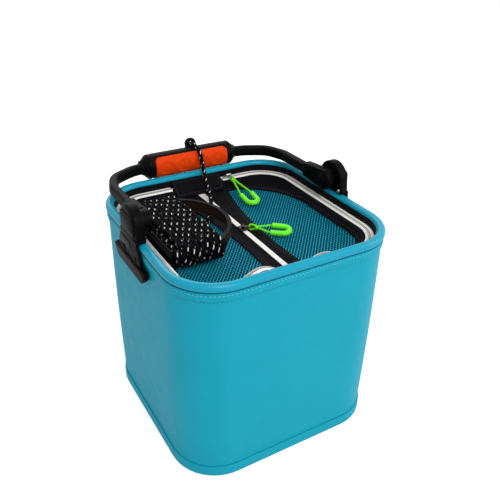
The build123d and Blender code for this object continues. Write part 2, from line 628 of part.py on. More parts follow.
collar_length = (GRIP_LENGTH - INSERT_LENGTH) / 2
grip_axis = Pos(0, GRIP_REACH, 0)
grip = grip_axis * Rot(0, 90, 0) * Cylinder(GRIP_RADIUS, GRIP_LENGTH)
grip = fillet(grip.edges().filter_by(GeomType.CIRCLE), GRIP_END_ROUND)


def grip_sector(inner_radius, outer_radius, length, half_angle):
    """Part of a tube round the grip, centred on the finger side."""
    tube = Rot(0, 90, 0) * (Cylinder(outer_radius, length) - Cylinder(inner_radius, length))
    reach = 2 * outer_radius
    fan_height = reach * sin(radians(half_angle))
    fan_depth = reach * cos(radians(half_angle))
    outline = [
        (0, 0),
        (-fan_depth, fan_height),
        (-reach, fan_height),
        (-reach, -fan_height),
        (-fan_depth, -fan_height),
    ]
    fan = side_plate(outline, -length / 2, length / 2)
    return Pos(INSERT_X, 0, 0) * grip_axis * (tube & fan)


insert_floor = GRIP_RADIUS - INSERT_THICKNESS
pocket_angle = INSERT_HALF_ANGLE + 1
grip = grip - grip_sector(insert_floor, GRIP_RADIUS + 1, INSERT_LENGTH + 2 * FIT_GAP, pocket_angle)
insert = grip_sector(insert_floor + FIT_GAP, GRIP_RADIUS + INSERT_PROUD, INSERT_LENGTH, INSERT_HALF_ANGLE)
dimple_sphere = (DIMPLE_RADIUS**2 + DIMPLE_DEPTH**2) / (2 * DIMPLE_DEPTH)
for step in (-1.5, -0.5, 0.5, 1.5):
    dimple_x = INSERT_X + step * DIMPLE_PITCH
    dimple_y = GRIP_REACH - GRIP_RADIUS - dimple_sphere + DIMPLE_DEPTH
    insert = insert - Pos(dimple_x, dimple_y, 0) * Sphere(dimple_sphere)

lug_place = Pos(LUG_X, 0, 0) * grip_axis * Rot(90 - LUG_ANGLE, 0, 0) * Pos(0, 0, GRIP_RADIUS)
lug = Rot(90, 0, 0) * Cylinder(LUG_RADIUS, LUG_THICKNESS)
lug += Pos(0, 0, -LUG_ROOT / 2) * Box(2 * LUG_RADIUS, LUG_THICKNESS, LUG_ROOT)
lug = lug - Pos(0, 0, LUG_HOLE_RISE) * Rot(90, 0, 0) * Cylinder(LUG_HOLE / 2, 3 * LUG_THICKNESS)
hole_centre = lug_place * Pos(0, 0, LUG_HOLE_RISE)
grip = grip + lug_place * lug - hole_centre * Rot(90, 0, 0) * Cylinder(LUG_HOLE / 2, 3 * LUG_THICKNESS)

screws = Part()
for side in (-1, 1):
    spot = grip_axis * Pos(side * (grip_end - collar_length / 2), 0, -GRIP_RADIUS)
    grip = grip - spot * Cylinder(SCREW_HEAD_DIAMETER / 2 + FIT_GAP, 2 * SCREW_SINK)
    grip = grip - spot * Cylinder(SCREW_DIAMETER / 2, 2 * SCREW_LENGTH)
    head_middle = Pos(0, 0, SCREW_SINK - SCREW_HEAD_THICKNESS / 2)
    head = head_middle * Cylinder(SCREW_HEAD_DIAMETER / 2, SCREW_HEAD_THICKNESS)
    shank_length = SCREW_LENGTH - SCREW_SINK
    shank = Pos(0, 0, SCREW_SINK + shank_length / 2) * Cylinder(SCREW_DIAMETER / 2, shank_length)
    screws += spot * (head + shank)

nodes["grip_shell"] = placed_handle(grip)
nodes["grip_insert"] = placed_handle(insert)
nodes["grip_screws"] = placed_handle(screws)
for name, piece in {"arm_boot": boot, "handle_arm": arm}.items():
    for side, shape in both_sides(placed_handle(piece)).items():
        nodes[name + "_" + side] = shape

# Winder: a core plate between a low flange and a rail with a curved bow to hold it by
FLANGE_THICKNESS = 2.4
FLANGE_HEIGHT = 12.0
RAIL_THICKNESS = 3.0
rope_last_x = ROPE_FIRST_X - (ROPE_TURNS - 1) * ROPE_PITCH - ROPE_PITCH / 2
flange_x = rope_last_x - ROPE_RADIUS - 2 * SEAT_GAP - FLANGE_THICKNESS
rail_end_x = RAIL_X + RAIL_THICKNESS
plate_low_y = ROPE_FRONT_Y
plate_high_y = ROPE_BACK_Y


def bar_box(x_range, y_range, z_range):
    """Box from its lowest to its highest coordinates."""
    size = [high - low for low, high in (x_range, y_range, z_range)]
    middle = [(high + low) / 2 for low, high in (x_range, y_range, z_range)]
    return Pos(*middle) * Box(*size)


half_plate = CORE_PLATE_THICKNESS / 2
plate_heights = (WINDER_Z - half_plate, WINDER_Z + half_plate)
rail_heights = (WINDER_Z - RAIL_DROP, WINDER_Z - RAIL_DROP + BOW_HEIGHT)
winder = bar_box((flange_x, rail_end_x), (plate_low_y, plate_high_y), plate_heights)
flange_heights = (WINDER_Z - FLANGE_HEIGHT / 2, WINDER_Z + FLANGE_HEIGHT / 2)
flange_ys = (plate_low_y - FLANGE_END, plate_high_y + FLANGE_END)
winder += bar_box((flange_x, flange_x + FLANGE_THICKNESS), flange_ys, flange_heights)
winder += bar_box((RAIL_X, rail_end_x), (plate_low_y - RAIL_END, plate_high_y + RAIL_END), rail_heights)
bow_x = rail_end_x - BOW_THICKNESS / 2
bow_line = ThreePointArc(
    (bow_x, plate_low_y - RAIL_END / 2, rail_heights[0]),
    (BOW_REACH_X, BOW_MIDDLE_Y, rail_heights[0]),
    (bow_x, plate_high_y + RAIL_END / 2, rail_heights[0]),
)
bow_start = Plane(origin=bow_line @ 0, x_dir=(0, 0, 1), z_dir=bow_line % 0)
bow_face = bow_start * Pos(BOW_HEIGHT / 2, 0) * Rectangle(BOW_HEIGHT, BOW_THICKNESS)
winder += sweep(bow_face, path=bow_line)
strut_z = rail_heights[0] + (BOW_HEIGHT - STRUT_HEIGHT) / 2
strut_outline = [
    (rail_end_x - RAIL_THICKNESS / 2, STRUT_START_Y + STRUT_WIDTH, strut_z),
    (rail_end_x - RAIL_THICKNESS / 2, STRUT_START_Y, strut_z),
    (STRUT_END_X, STRUT_END_Y, strut_z),
    (STRUT_END_X, STRUT_END_Y + STRUT_WIDTH, strut_z),
]
winder += extrude(make_face(Polyline(*strut_outline, close=True)), STRUT_HEIGHT, dir=(0, 0, 1))
nodes["rope_winder"] = winder


# Rope: two layers wound on the core plate, then a free run to the eyelet on the grip
def half_turn(x, y, start_z, end_z, bulge):
    """Half circle round an end of the core plate, bulging along Y."""
    middle = (x, y + bulge * abs(start_z - end_z) / 2, (start_z + end_z) / 2)
    return ThreePointArc((x, y, start_z), middle, (x, y, end_z))


def drifting_run(start_x, start_y, end_x, end_y, z):
    """Run along Y that shifts sideways: two equal arcs, parallel to Y at both ends."""
    along = 1 if end_y > start_y else -1
    middle = ((start_x + end_x) / 2, (start_y + end_y) / 2, z)
    first = TangentArc((start_x, start_y, z), middle, tangent=(0, along, 0))
    second = TangentArc((end_x, end_y, z), middle, tangent=(0, -along, 0))
    return [first, Edge.make_tangent_arc(Vector(*middle), first % 1, Vector(end_x, end_y, z))]


def winding_edges():
    """Edges of the wound rope, from its start on the core to where it leaves the winder."""
    front, back, drift = ROPE_FRONT_Y, ROPE_BACK_Y, ROPE_PITCH / 2
    inner_top, inner_low = WINDER_Z + INNER_TURN, WINDER_Z - INNER_TURN
    outer_top, outer_low = WINDER_Z + OUTER_TURN, WINDER_Z - OUTER_TURN
    x = ROPE_FIRST_X
    first_y = back - ROPE_DIAMETER
    edges = [Line((x, back, inner_top), (x, first_y, inner_top))]
    for turn in range(ROPE_TURNS):
        edges += drifting_run(x, back if turn else first_y, x - drift, front, inner_top)
        x -= drift
        if turn < ROPE_TURNS - 1:
            edges.append(half_turn(x, front, inner_top, inner_low, -1))
            edges += drifting_run(x, front, x - drift, back, inner_low)
            x -= drift
            edges.append(half_turn(x, back, inner_low, inner_top, 1))
    edges.append(half_turn(x, front, inner_top, outer_low, -1))
    for turn in range(ROPE_TURNS):
        edges += drifting_run(x, front, x + drift, back, outer_low)
        x += drift
        edges.append(half_turn(x, back, outer_low, outer_top, 1))
        edges += drifting_run(x, back, x + drift, front, outer_top)
        x += drift
        edges.append(half_turn(x, front, outer_top, outer_low, -1))
    edges.append(Line((x, front, outer_low), (x, ROPE_EXIT_Y, outer_low)))
    return edges


def self_gap(edges, diameter, step=1.0):
    """Least gap between parts of a wound tube that lie over three diameters apart along it."""
    points, along, passed = [], [], 0.0
    for edge in edges:
        count = max(2, int(edge.length / step))
        for index in range(count):
            points.append(tuple(edge @ (index / count)))
            along.append(passed + edge.length * index / count)
        passed += edge.length
    points, along = np.array(points), np.array(along)
    least = 1e9
    for index in range(0, len(points), 2):
        far = along > along[index] + 3 * diameter
        if far.any():
            least = min(least, np.linalg.norm(points[far] - points[index], axis=1).min())
    return least - diameter, passed


rope_edges = winding_edges()
gap, wound_length = self_gap(rope_edges, ROPE_DIAMETER)
print("winding: gap to itself", round(gap, 3), "length", round(wound_length, 1))
rope_start = rope_edges[0]
rope_face = Plane(origin=rope_start @ 0, z_dir=rope_start % 0) * Circle(ROPE_RADIUS)
nodes["rope_winding"] = sweep(rope_face, path=Wire(rope_edges))
print("winding: volume over section times length",
      round(nodes["rope_winding"].volume / (pi * ROPE_RADIUS**2 * wound_length), 5))

# Free run of the rope: points chosen by hand, heights counted from the rim
ROPE_ROUTE = [
    (-48.025, -38, -14.95),
    (-48.025, -25.5, -14.95),
    (-45.4, -8.5, -14.95),
    (-37.2, 9.5, -14.9),
    (-25, 27.5, -14.4),
    (-12.2, 44.5, -12),
    (-3.8, 61.5, -9),
    (2.5, 78.5, -6.5),
    (6.4, 92.5, -3.9),
    (8.6, 100.9, 0.2),
    (9.6, 106.4, 6.8),
    (9.6, 109.1, 15.7),
    (9, 111.4, 24.2),
    (8.1, 115.7, 29.6),
    (6.9, 121.8, 32.7),
    (6, 128.9, 33),
    (6, 135.44, 30.5),
]


def corner_radii(points):
    """Largest arc at each corner that its two runs leave room for."""
    radii = []
    for before, corner, after in zip(points, points[1:], points[2:]):
        arriving, leaving = Vector(*corner) - Vector(*before), Vector(*after) - Vector(*corner)
        shorter = min(arriving.length, leaving.length)
        radii.append(0.45 * shorter / tan(radians(arriving.get_angle(leaving)) / 2))
    return radii


free_points = [(x, y, RIM_Z + rise) for x, y, rise in ROPE_ROUTE]
free_radii = corner_radii(free_points)
print("free run radii", [round(radius, 1) for radius in free_radii])
free_path = FilletPolyline(*free_points, radius=free_radii)
free_face = Plane(origin=free_path @ 0, z_dir=free_path % 0) * Circle(ROPE_RADIUS)
nodes["rope_free_run"] = sweep(free_face, path=free_path)
print("free run: length", round(free_path.length, 1), "volume ratio",
      round(nodes["rope_free_run"].volume / (pi * ROPE_RADIUS**2 * free_path.length), 5))

# Knot behind the eyelet, flat where the rope enters it
KNOT_DIAMETER = 7.2
KNOT_SINK = 1.1
knot_plane = Plane(origin=free_path @ 1, z_dir=free_path % 1)
knot = knot_plane * Pos(0, 0, KNOT_DIAMETER / 2 - KNOT_SINK) * Sphere(KNOT_DIAMETER / 2)
before_knot = Box(2 * KNOT_DIAMETER, 2 * KNOT_DIAMETER, 2 * KNOT_DIAMETER)
knot = knot - knot_plane * Pos(0, 0, -KNOT_DIAMETER) * before_knot
nodes["rope_knot"] = knot
eyelet = placed_handle(Part() + hole_centre * Sphere(0.01)).center()
print("eyelet hole", [round(value, 2) for value in (eyelet.X, eyelet.Y, eyelet.Z - RIM_Z)])

os.makedirs("parts", exist_ok=True)
for name, shape in nodes.items():
    export_step(shape, os.path.join("parts", name + ".step"))
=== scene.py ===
"""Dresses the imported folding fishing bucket: coated sheet, piping, mesh lid, zips, grip and draw rope.

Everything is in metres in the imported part's frame: +X right, +Y back, where the grip rests, +Z up.
"""

import math

import bpy
import numpy as np
from bpy.props import FloatProperty, FloatVectorProperty, PointerProperty
from bpy.types import Operator, Panel, PropertyGroup
from mathutils import Matrix, Vector


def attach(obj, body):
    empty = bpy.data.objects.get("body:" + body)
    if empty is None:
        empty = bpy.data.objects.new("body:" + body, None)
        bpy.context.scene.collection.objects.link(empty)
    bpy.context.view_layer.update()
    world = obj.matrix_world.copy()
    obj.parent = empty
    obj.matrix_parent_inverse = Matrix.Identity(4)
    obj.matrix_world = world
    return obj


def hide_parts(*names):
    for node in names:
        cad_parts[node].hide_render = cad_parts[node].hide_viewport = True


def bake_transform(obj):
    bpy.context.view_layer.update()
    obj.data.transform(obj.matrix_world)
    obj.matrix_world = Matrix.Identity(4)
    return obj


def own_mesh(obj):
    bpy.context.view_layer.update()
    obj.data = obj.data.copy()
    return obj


bl_info = {
    "name": "Folding bucket dresser",
    "version": (1, 0, 0),
    "blender": (4, 5, 0),
    "location": "View3D > Sidebar > Bucket",
    "description": "Builds the cloth, rope, zips and mouldings round a packed folding bucket",
    "category": "Object",
}

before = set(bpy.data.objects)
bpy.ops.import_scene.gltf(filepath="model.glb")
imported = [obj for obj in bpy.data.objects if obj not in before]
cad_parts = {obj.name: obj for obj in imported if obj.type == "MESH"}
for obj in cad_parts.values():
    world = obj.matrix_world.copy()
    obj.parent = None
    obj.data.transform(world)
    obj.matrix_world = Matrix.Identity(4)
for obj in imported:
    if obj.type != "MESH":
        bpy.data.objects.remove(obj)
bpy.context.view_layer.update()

# Places that the whole object shares
RIM_Z = 0.230
RIM_HALF = 0.115
RIM_STRAIGHT = 0.0673
PIPING_RADIUS = 0.0045
WALL_TOP_HALF = 0.117
WALL_TOP_Z = 0.2252
BASE_HALF = 0.115
BASE_CORNER = 0.049
PIVOT_Z = 0.2475
GRIP_REACH = 0.127
GRIP_Z = 0.24512
HANDLE_TILT = math.atan2(PIVOT_Z - GRIP_Z, GRIP_REACH)
LID_FLOOR_Z = 0.2125
ZIP_Z = 0.223
ROPE_DIAMETER = 0.0045
SIDES = ((1, "right"), (-1, "left"))


# Settings that a user would change
def tint(name, description, default):
    """Property for a base colour, as linear RGB."""
    return FloatVectorProperty(name=name, description=description, default=default, size=3, subtype="COLOR")


def measure(name, description, default):
    """Property for a length."""
    return FloatProperty(name=name, description=description, default=default, unit="LENGTH")


class BucketColours(PropertyGroup):
    """Base colours, as linear RGB."""

    sheet: tint("Sheet", "Coated sheet of the wall", (0.006, 0.350, 0.480))
    piping: tint("Piping", "Sheet drawn over the piping round the mouth", (0.002, 0.330, 0.480))
    mesh: tint("Mesh", "Knitted strands of the lid's windows", (0.001, 0.330, 0.480))
    cloth: tint("Cloth", "Woven cloth of the lid", (0.0030, 0.0028, 0.0040))
    plastic: tint("Plastic", "Moulded black plastic", (0.0018, 0.0017, 0.0017))
    grip: tint("Grip", "Soft insert of the grip", (0.80, 0.055, 0.002))
    pull: tint("Pulls", "Cord and grips of the zip pulls", (0.17, 0.95, 0.012))
    tape: tint("Zip tape", "Woven tape of the zips", (0.93, 0.91, 0.86))


class BucketSizes(PropertyGroup):
    """Sizes of the soft pieces."""

    wall_bulge: measure("Wall bulge", "How far the soft wall swells half way up", 0.0012)
    mesh_sag: measure("Mesh sag", "How far each mesh window sags at its middle", 0.0016)
    strand_pitch: measure("Strand pitch", "Distance between the strands of the mesh", 0.0029)
    bead_pitch: measure("Bead pitch", "Distance between the rungs of the mesh", 0.0025)
    tooth_pitch: measure("Tooth pitch", "Distance between the teeth of a zip", 0.0021)
    stitch: measure("Stitch", "Length of one stitch of the hem with its gap", 0.0038)


# Meshes
def add_object(name, points, faces, material, corner_uv=None, smooth=True, closed=False):
    """Object at the origin from an array of points and a list of faces, with a UV pair for each face's
    corners."""
    mesh = bpy.data.meshes.new(name)
    mesh.from_pydata(np.asarray(points, float).tolist(), [], faces)
    mesh.polygons.foreach_set("use_smooth", np.full(len(mesh.polygons), smooth))
    if corner_uv is not None:
        layer = mesh.uv_layers.new(name="UVMap")
        layer.data.foreach_set("uv", np.asarray(corner_uv, np.float32).ravel())
    mesh.materials.append(material)
    mesh.update()
    piece = bpy.data.objects.new(name, mesh)
    bpy.context.scene.collection.objects.link(piece)
    if closed:
        turn_outwards(piece)
    return piece


def fetched(items, key, kind=np.float32):
    """Three values of each item, as an array."""
    values = np.empty(len(items) * 3, kind)
    items.foreach_get(key, values)
    return values.reshape(-1, 3)


def turn_outwards(piece):
    """Turns a closed mesh's faces outwards, by the sign of its volume: the sum over triangles of a . (b x
    c)."""
    mesh = piece.data
    mesh.calc_loop_triangles()
    places = fetched(mesh.vertices, "co")
    triangles = places[fetched(mesh.loop_triangles, "vertices", np.int32)].astype(float)
    triangles -= places.mean(0)
    volume = np.einsum("ij,ij->", triangles[:, 0], np.cross(triangles[:, 1], triangles[:, 2]))
    if volume < 0:
        mesh.flip_normals()


def surface(
    name, grid, material, wrap_rows=False, wrap_columns=True, caps=False, along=None, across=None, **how
):
    """Surface over a grid of points [row, column]. Rows may close into a ring, and so may columns, and
    caps close a tube's two ends. The UV map holds along, one value per row, and across, one per column,
    in metres or turns."""
    grid = np.asarray(grid, float)
    rows, columns = grid.shape[:2]
    row_steps = rows if wrap_rows else rows - 1
    column_steps = columns if wrap_columns else columns - 1
    row, column = np.meshgrid(np.arange(row_steps), np.arange(column_steps), indexing="ij")
    row, column = row.ravel(), column.ravel()
    next_row, next_column = (row + 1) % rows, (column + 1) % columns
    around = ((row, column), (row, next_column), (next_row, next_column), (next_row, column))
    corners = np.stack([r * columns + c for r, c in around], -1)
    along = np.arange(row_steps + 1, dtype=float) if along is None else np.asarray(along, float)
    across = np.arange(column_steps + 1, dtype=float) if across is None else np.asarray(across, float)
    steps = ((0, 0), (0, 1), (1, 1), (1, 0))
    uv = np.stack([np.stack([along[row + r], across[column + c]], -1) for r, c in steps], 1).reshape(-1, 2)
    faces = corners.tolist()
    if caps:
        faces.append(list(range(columns))[::-1])
        faces.append([(rows - 1) * columns + c for c in range(columns)])
        uv = np.concatenate([uv, np.zeros((2 * columns, 2))])
    how.setdefault("closed", caps or (wrap_rows and wrap_columns))
    return add_object(name, grid.reshape(-1, 3), faces, material, uv, **how)


def unit(vectors):
    """Each vector over its own length."""
    return vectors / np.maximum(np.linalg.norm(vectors, axis=-1, keepdims=True), 1e-12)


def quarter_turned(vectors):
    """Plan vectors turned a quarter to the right."""
    return np.stack([vectors[:, 1], -vectors[:, 0]], 1)


def lifted(flat, z):
    """Points of a plan at a height, or at one height each."""
    return np.column_stack([flat, np.broadcast_to(z, len(flat))])


def arc_profile(centre, radius, start, end, steps=8):
    """Points of an arc, whose ends are given in degrees."""
    angle = np.radians(np.linspace(start, end, steps + 1))
    return [(centre[0] + radius * math.cos(a), centre[1] + radius * math.sin(a)) for a in angle]


def travelled(path, closed=False):
    """Distance along a path at each of its points, with the whole length added at the end of a closed
    one."""
    loop = np.vstack([path, path[:1]]) if closed else path
    return np.concatenate([[0.0], np.cumsum(np.linalg.norm(np.diff(loop, axis=0), axis=1))])


def spaced(path, step, closed=False):
    """The same path with points an even distance apart, near the given step."""
    loop = np.vstack([path, path[:1]]) if closed else path
    far = travelled(loop)
    count = max(2, int(round(far[-1] / step)))
    wanted = np.linspace(0, far[-1], count + 1)[: count if closed else count + 1]
    return np.stack([np.interp(wanted, far, loop[:, axis]) for axis in range(3)], 1)


def cross_frames(path, reference, closed=False):
    """Tangent, side and up at each point of a path. The side is the reference made square to the tangent,
    and up is the tangent times the side, so a section drawn in side and up doesn't twist."""
    if closed:
        tangent = unit(np.roll(path, -1, 0) - np.roll(path, 1, 0))
    else:
        tangent = unit(np.gradient(path, axis=0))
    reference = np.broadcast_to(np.asarray(reference, float), path.shape)
    side = unit(reference - np.sum(reference * tangent, 1, keepdims=True) * tangent)
    return tangent, side, np.cross(tangent, side)


def swept(name, path, section, material, reference=(0, 0, 1), closed=False, caps=True, **how):
    """A section carried along a path. The section is (side, up) pairs, the same all along or one set per
    point: point = path + side amount times side + up amount times up."""
    path = np.asarray(path, float)
    section = np.asarray(section, float)
    if section.ndim == 2:
        section = np.broadcast_to(section, (len(path), *section.shape))
    _, side, up = cross_frames(path, reference, closed)
    grid = path[:, None] + section[..., :1] * side[:, None] + section[..., 1:] * up[:, None]
    how.setdefault("along", travelled(path, closed))
    how.setdefault("across", np.linspace(0, 1, section.shape[1] + 1))
    return surface(name, grid, material, wrap_rows=closed, caps=caps and not closed, **how)


def circle(radius, count, start=0.0):
    """Section of a round tube, from a start angle."""
    angle = start + np.linspace(0, 2 * np.pi, count, endpoint=False)
    return np.stack([radius * np.cos(angle), radius * np.sin(angle)], 1)


def boxed(left, low, right, high, radius, steps=6):
    """Rounded rectangle, as an outline."""
    return rounded_outline([(left, low), (right, low), (right, high), (left, high)], radius, steps)


def rounded_outline(corners, radii, steps=6):
    """Outline of a polygon whose corners are arcs. Each arc touches both sides at radius times the
    tangent of half the turn from its corner, and is drawn round the point a radius inside both sides."""
    corners = np.asarray(corners, float)
    radii = np.broadcast_to(np.asarray(radii, float), len(corners))
    points = []
    for corner, before, after, radius in zip(corners, np.roll(corners, 1, 0), np.roll(corners, -1, 0), radii):
        if radius <= 0:
            points.append(corner[None])
            continue
        back, ahead = unit(before - corner), unit(after - corner)
        half = math.acos(max(-1.0, min(1.0, float(back @ ahead)))) / 2
        reach = radius / math.tan(half)
        start, end = corner + back * reach, corner + ahead * reach
        centre = corner + unit(back + ahead) * (radius / math.sin(half))
        share = np.linspace(0, 1, steps + 1)[:, None]
        arm, other = start - centre, end - centre
        sweep = math.pi - 2 * half
        fan = (np.sin((1 - share) * sweep) * arm + np.sin(share * sweep) * other) / max(math.sin(sweep), 1e-9)
        points.append(centre + fan)
    return np.vstack(points)


def plate(name, outline, low, high, material, axis=0, rounding=0.0008, steps=3, **how):
    """Plate across an axis with rounded rims. Its rings are the outline drawn in by r (1 - cos a) at a
    height of r (1 - sin a) from each face, for angles a from 90 degrees to none."""
    outline = np.asarray(outline, float)
    after = np.roll(outline, -1, 0)
    if np.sum(outline[:, 0] * after[:, 1] - after[:, 0] * outline[:, 1]) < 0:
        outline = outline[::-1]
    edge = np.roll(outline, -1, 0) - outline
    inward = unit(np.stack([-edge[:, 1], edge[:, 0]], 1))
    before = np.roll(inward, 1, 0)
    mitre = unit(inward + before)
    mitre = mitre / np.maximum(np.sum(mitre * inward, 1, keepdims=True), 0.5)
    angle = np.linspace(math.pi / 2, 0, steps + 1)
    inset = rounding * (1 - np.sin(angle))
    inset = np.concatenate([inset[::-1], inset])
    drop = rounding * (1 - np.cos(angle))
    height = np.concatenate([low + drop[::-1], high - drop])
    flat = outline[None] + inset[:, None, None] * mitre[None]
    grid = np.insert(flat, axis, height[:, None], axis=2)
    how.setdefault("across", np.linspace(0, 1, len(outline) + 1))
    return surface(name, grid, material, caps=True, **how)


def turned(name, profile, origin, axis, material, count=24, **how):
    """Solid of revolution. The profile is (radius, height) pairs along the axis, from one end to the
    other; an end of no radius closes in a point."""
    profile = np.asarray(profile, float)
    profile[:, 0] = np.maximum(profile[:, 0], 1e-6)
    axis = unit(np.asarray(axis, float))
    helper = np.array([0.0, 0.0, 1.0]) if abs(axis[2]) < 0.9 else np.array([1.0, 0.0, 0.0])
    side = unit(np.cross(axis, helper))
    up = np.cross(axis, side)
    angle = np.linspace(0, 2 * np.pi, count, endpoint=False)
    ring = np.cos(angle)[:, None] * side + np.sin(angle)[:, None] * up
    grid = np.asarray(origin, float) + profile[:, None, :1] * ring[None] + profile[:, None, 1:] * axis
    return surface(name, grid, material, caps=True, **how)


def merged(name, pieces):
    """Joins finished pieces into one object under a new name."""
    bpy.ops.object.select_all(action="DESELECT")
    for piece in pieces:
        piece.select_set(True)
    bpy.context.view_layer.objects.active = pieces[0]
    if len(pieces) > 1:
        bpy.ops.object.join()
    joined = bpy.context.view_layer.objects.active
    joined.name = joined.data.name = name
    return joined


def rim_loop(half, z, step):
    """Closed path round the mouth beside the rim: straight sides joined by quarter circles about shared
    centres."""
    corner = half - RIM_STRAIGHT
    turns = []
    for index, centre in enumerate(((1, 1), (-1, 1), (-1, -1), (1, -1))):
        angle = np.linspace(0, math.pi / 2, 25) + index * math.pi / 2
        bend = np.stack([np.cos(angle), np.sin(angle)], 1)
        turns.append(lifted(np.array(centre) * RIM_STRAIGHT + corner * bend, z))
    return spaced(np.vstack(turns), step, closed=True)


def square_ring(half, corner, count_side=24, count_corner=12):
    """Square with rounded corners as (x, y) points, the same number on each side and in each corner."""
    straight = half - corner
    angle = np.linspace(0, math.pi / 2, count_corner, endpoint=False)
    side = np.linspace(-straight, straight, count_side, endpoint=False)
    points = []
    for turn in range(4):
        east = np.stack([np.full_like(side, half), side], 1)
        bend = np.stack([straight + corner * np.cos(angle), straight + corner * np.sin(angle)], 1)
        spin = turn * math.pi / 2
        rotate = np.array([[math.cos(spin), math.sin(spin)], [-math.sin(spin), math.cos(spin)]])
        points.append(np.vstack([east, bend]) @ rotate)
    return np.vstack(points)


def rest_on(piece, body, slot, *nodes):
    """Makes a piece ride on a body and stand for its CAD nodes, which it hides. The slot is not used."""
    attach(piece, body)
    if nodes:
        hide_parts(*nodes)
    return piece


# Materials
class Finish:
    """A node material under construction. Each method adds a node and returns its output."""

    def __init__(self, name, colour, roughness=0.5, specular=0.5, **constants):
        self.material = bpy.data.materials.new(name)
        self.material.use_nodes = True
        self.tree = self.material.node_tree
        self.shader = self.tree.nodes["Principled BSDF"]
        inputs = {"Base Color": (*colour, 1.0), "Roughness": roughness, "Specular IOR Level": specular}
        self.feed(self.shader, {**inputs, **constants})

    def feed(self, node, inputs):
        """Sets a node's inputs: an output is linked, and anything else is a plain value."""
        for key, value in inputs.items():
            if isinstance(value, bpy.types.NodeSocket):
                self.tree.links.new(value, node.inputs[key])
            else:
                node.inputs[key].default_value = value

    def add(self, kind, output, inputs, **settings):
        """One node of a kind, with its settings and inputs."""
        node = self.tree.nodes.new("ShaderNode" + kind)
        for key, value in settings.items():
            setattr(node, key, value)
        self.feed(node, inputs)
        return node.outputs[output]

    def place(self, scale=(1.0, 1.0, 1.0), space="Object"):
        """Coordinates in metres, or the piece's own UV map, stretched."""
        return self.add("Mapping", "Vector", {"Vector": self.add("TexCoord", space, {}), "Scale": scale})

    def noise(self, scale, detail=3.0):
        """Soft noise from none to one."""
        return self.add("TexNoise", "Fac", {"Vector": self.place(), "Scale": scale, "Detail": detail})

    def waves(self, scale, direction, vector):
        """Even bands across a direction, from none to one."""
        inputs = {"Vector": vector, "Scale": scale, "Distortion": 0.0}
        return self.add("TexWave", "Fac", inputs, bands_direction=direction)

    def parts(self, vector):
        """X and Y of a vector."""
        node = self.tree.nodes.new("ShaderNodeSeparateXYZ")
        self.feed(node, {"Vector": vector})
        return node.outputs["X"], node.outputs["Y"]

    def math(self, operation, first, second=0.0):
        """Arithmetic on one or two values."""
        return self.add("Math", "Value", {0: first, 1: second}, operation=operation)

    def times(self, first, second):
        """Product of two values."""
        return self.math("MULTIPLY", first, second)

    def between(self, value, low, high, to_low=0.0, to_high=1.0):
        """Moves a value from one range to another, held at its ends."""
        inputs = {"Value": value, "From Min": low, "From Max": high, "To Min": to_low, "To Max": to_high}
        return self.add("MapRange", "Result", inputs)

    def blend(self, share, first, second):
        """Colour between two colours."""
        first = first if isinstance(first, bpy.types.NodeSocket) else (*first, 1.0)
        second = second if isinstance(second, bpy.types.NodeSocket) else (*second, 1.0)
        node = self.tree.nodes.new("ShaderNodeMix")
        node.data_type = "RGBA"
        self.feed(node, {0: share, 6: first, 7: second})
        return node.outputs[2]

    def bump(self, height, depth, strength=1.0, under=None):
        """Bump of a depth in metres, over another bump if one is given."""
        inputs = {"Height": height, "Distance": depth, "Strength": strength}
        if under is not None:
            inputs["Normal"] = under
        return self.add("Bump", "Normal", inputs)

    def grain(self, scale, detail, depth, strength, under=None):
        """Bump of a soft noise."""
        return self.bump(self.noise(scale, detail), depth, strength, under)

    def mottle(self, scale, detail, colour, dark, light):
        """Colour that wanders with a soft noise between two shades of itself."""
        return self.blend(self.noise(scale, detail), shade(colour, dark), shade(colour, light))

    def braid(self, pitch, count):
        """Places along and round a cord by its UV map, in metres and turns, and the height of its
        crossing strands: the greater of two sines, of turns times strands plus and minus the metres along
        over the braid's pitch."""
        along, around = self.parts(self.place(space="UV"))
        rise = self.times(along, 2 * math.pi / pitch)
        spin = self.times(around, 2 * math.pi * count)
        right = self.math("SINE", self.math("ADD", rise, spin))
        left = self.math("SINE", self.math("SUBTRACT", rise, spin))
        return along, around, self.math("MAXIMUM", right, left)

    def finish(self, **sockets):
        """Links the last results to the shader."""
        names = {"colour": "Base Color", "roughness": "Roughness", "normal": "Normal", "alpha": "Alpha"}
        self.feed(self.shader, {names[key]: value for key, value in sockets.items()})
        return self.material


def shade(colour, factor):
    """Colour made darker or lighter by a factor."""
    return tuple(min(1.0, float(channel) * factor) for channel in colour)


def coated_sheet(colours):
    """Coated sheet of the wall: slow swells, a fine satin grain and faint rubbed patches."""
    made = Finish("coated_sheet", colours.sheet, 0.45, specular=0.1)
    mottle = made.noise(14.0, 4.0)
    rubbed = made.between(made.noise(90.0, 6.0), 0.62, 0.80, 0.0, 0.35)
    tone = made.blend(mottle, shade(colours.sheet, 0.93), shade(colours.sheet, 1.07))
    colour = made.blend(rubbed, tone, shade(colours.sheet, 1.18))
    swell = made.grain(22.0, 2.0, 0.0016, 0.35)
    grain = made.grain(2600.0, 2.0, 0.00005, 0.5, swell)
    roughness = made.between(made.noise(60.0, 4.0), 0.2, 0.8, 0.36, 0.50)
    return made.finish(colour=colour, roughness=roughness, normal=grain)


def piping_sheet(colours):
    """The same sheet drawn tight over the piping's core, with fine creases across it."""
    made = Finish("piping_sheet", colours.piping, 0.28, specular=0.25)
    tone = made.mottle(30.0, 3.0, colours.piping, 0.93, 1.07)
    crease = made.grain(420.0, 3.0, 0.00012, 0.35)
    grain = made.grain(2600.0, 2.0, 0.00004, 0.4, crease)
    return made.finish(colour=tone, normal=grain)


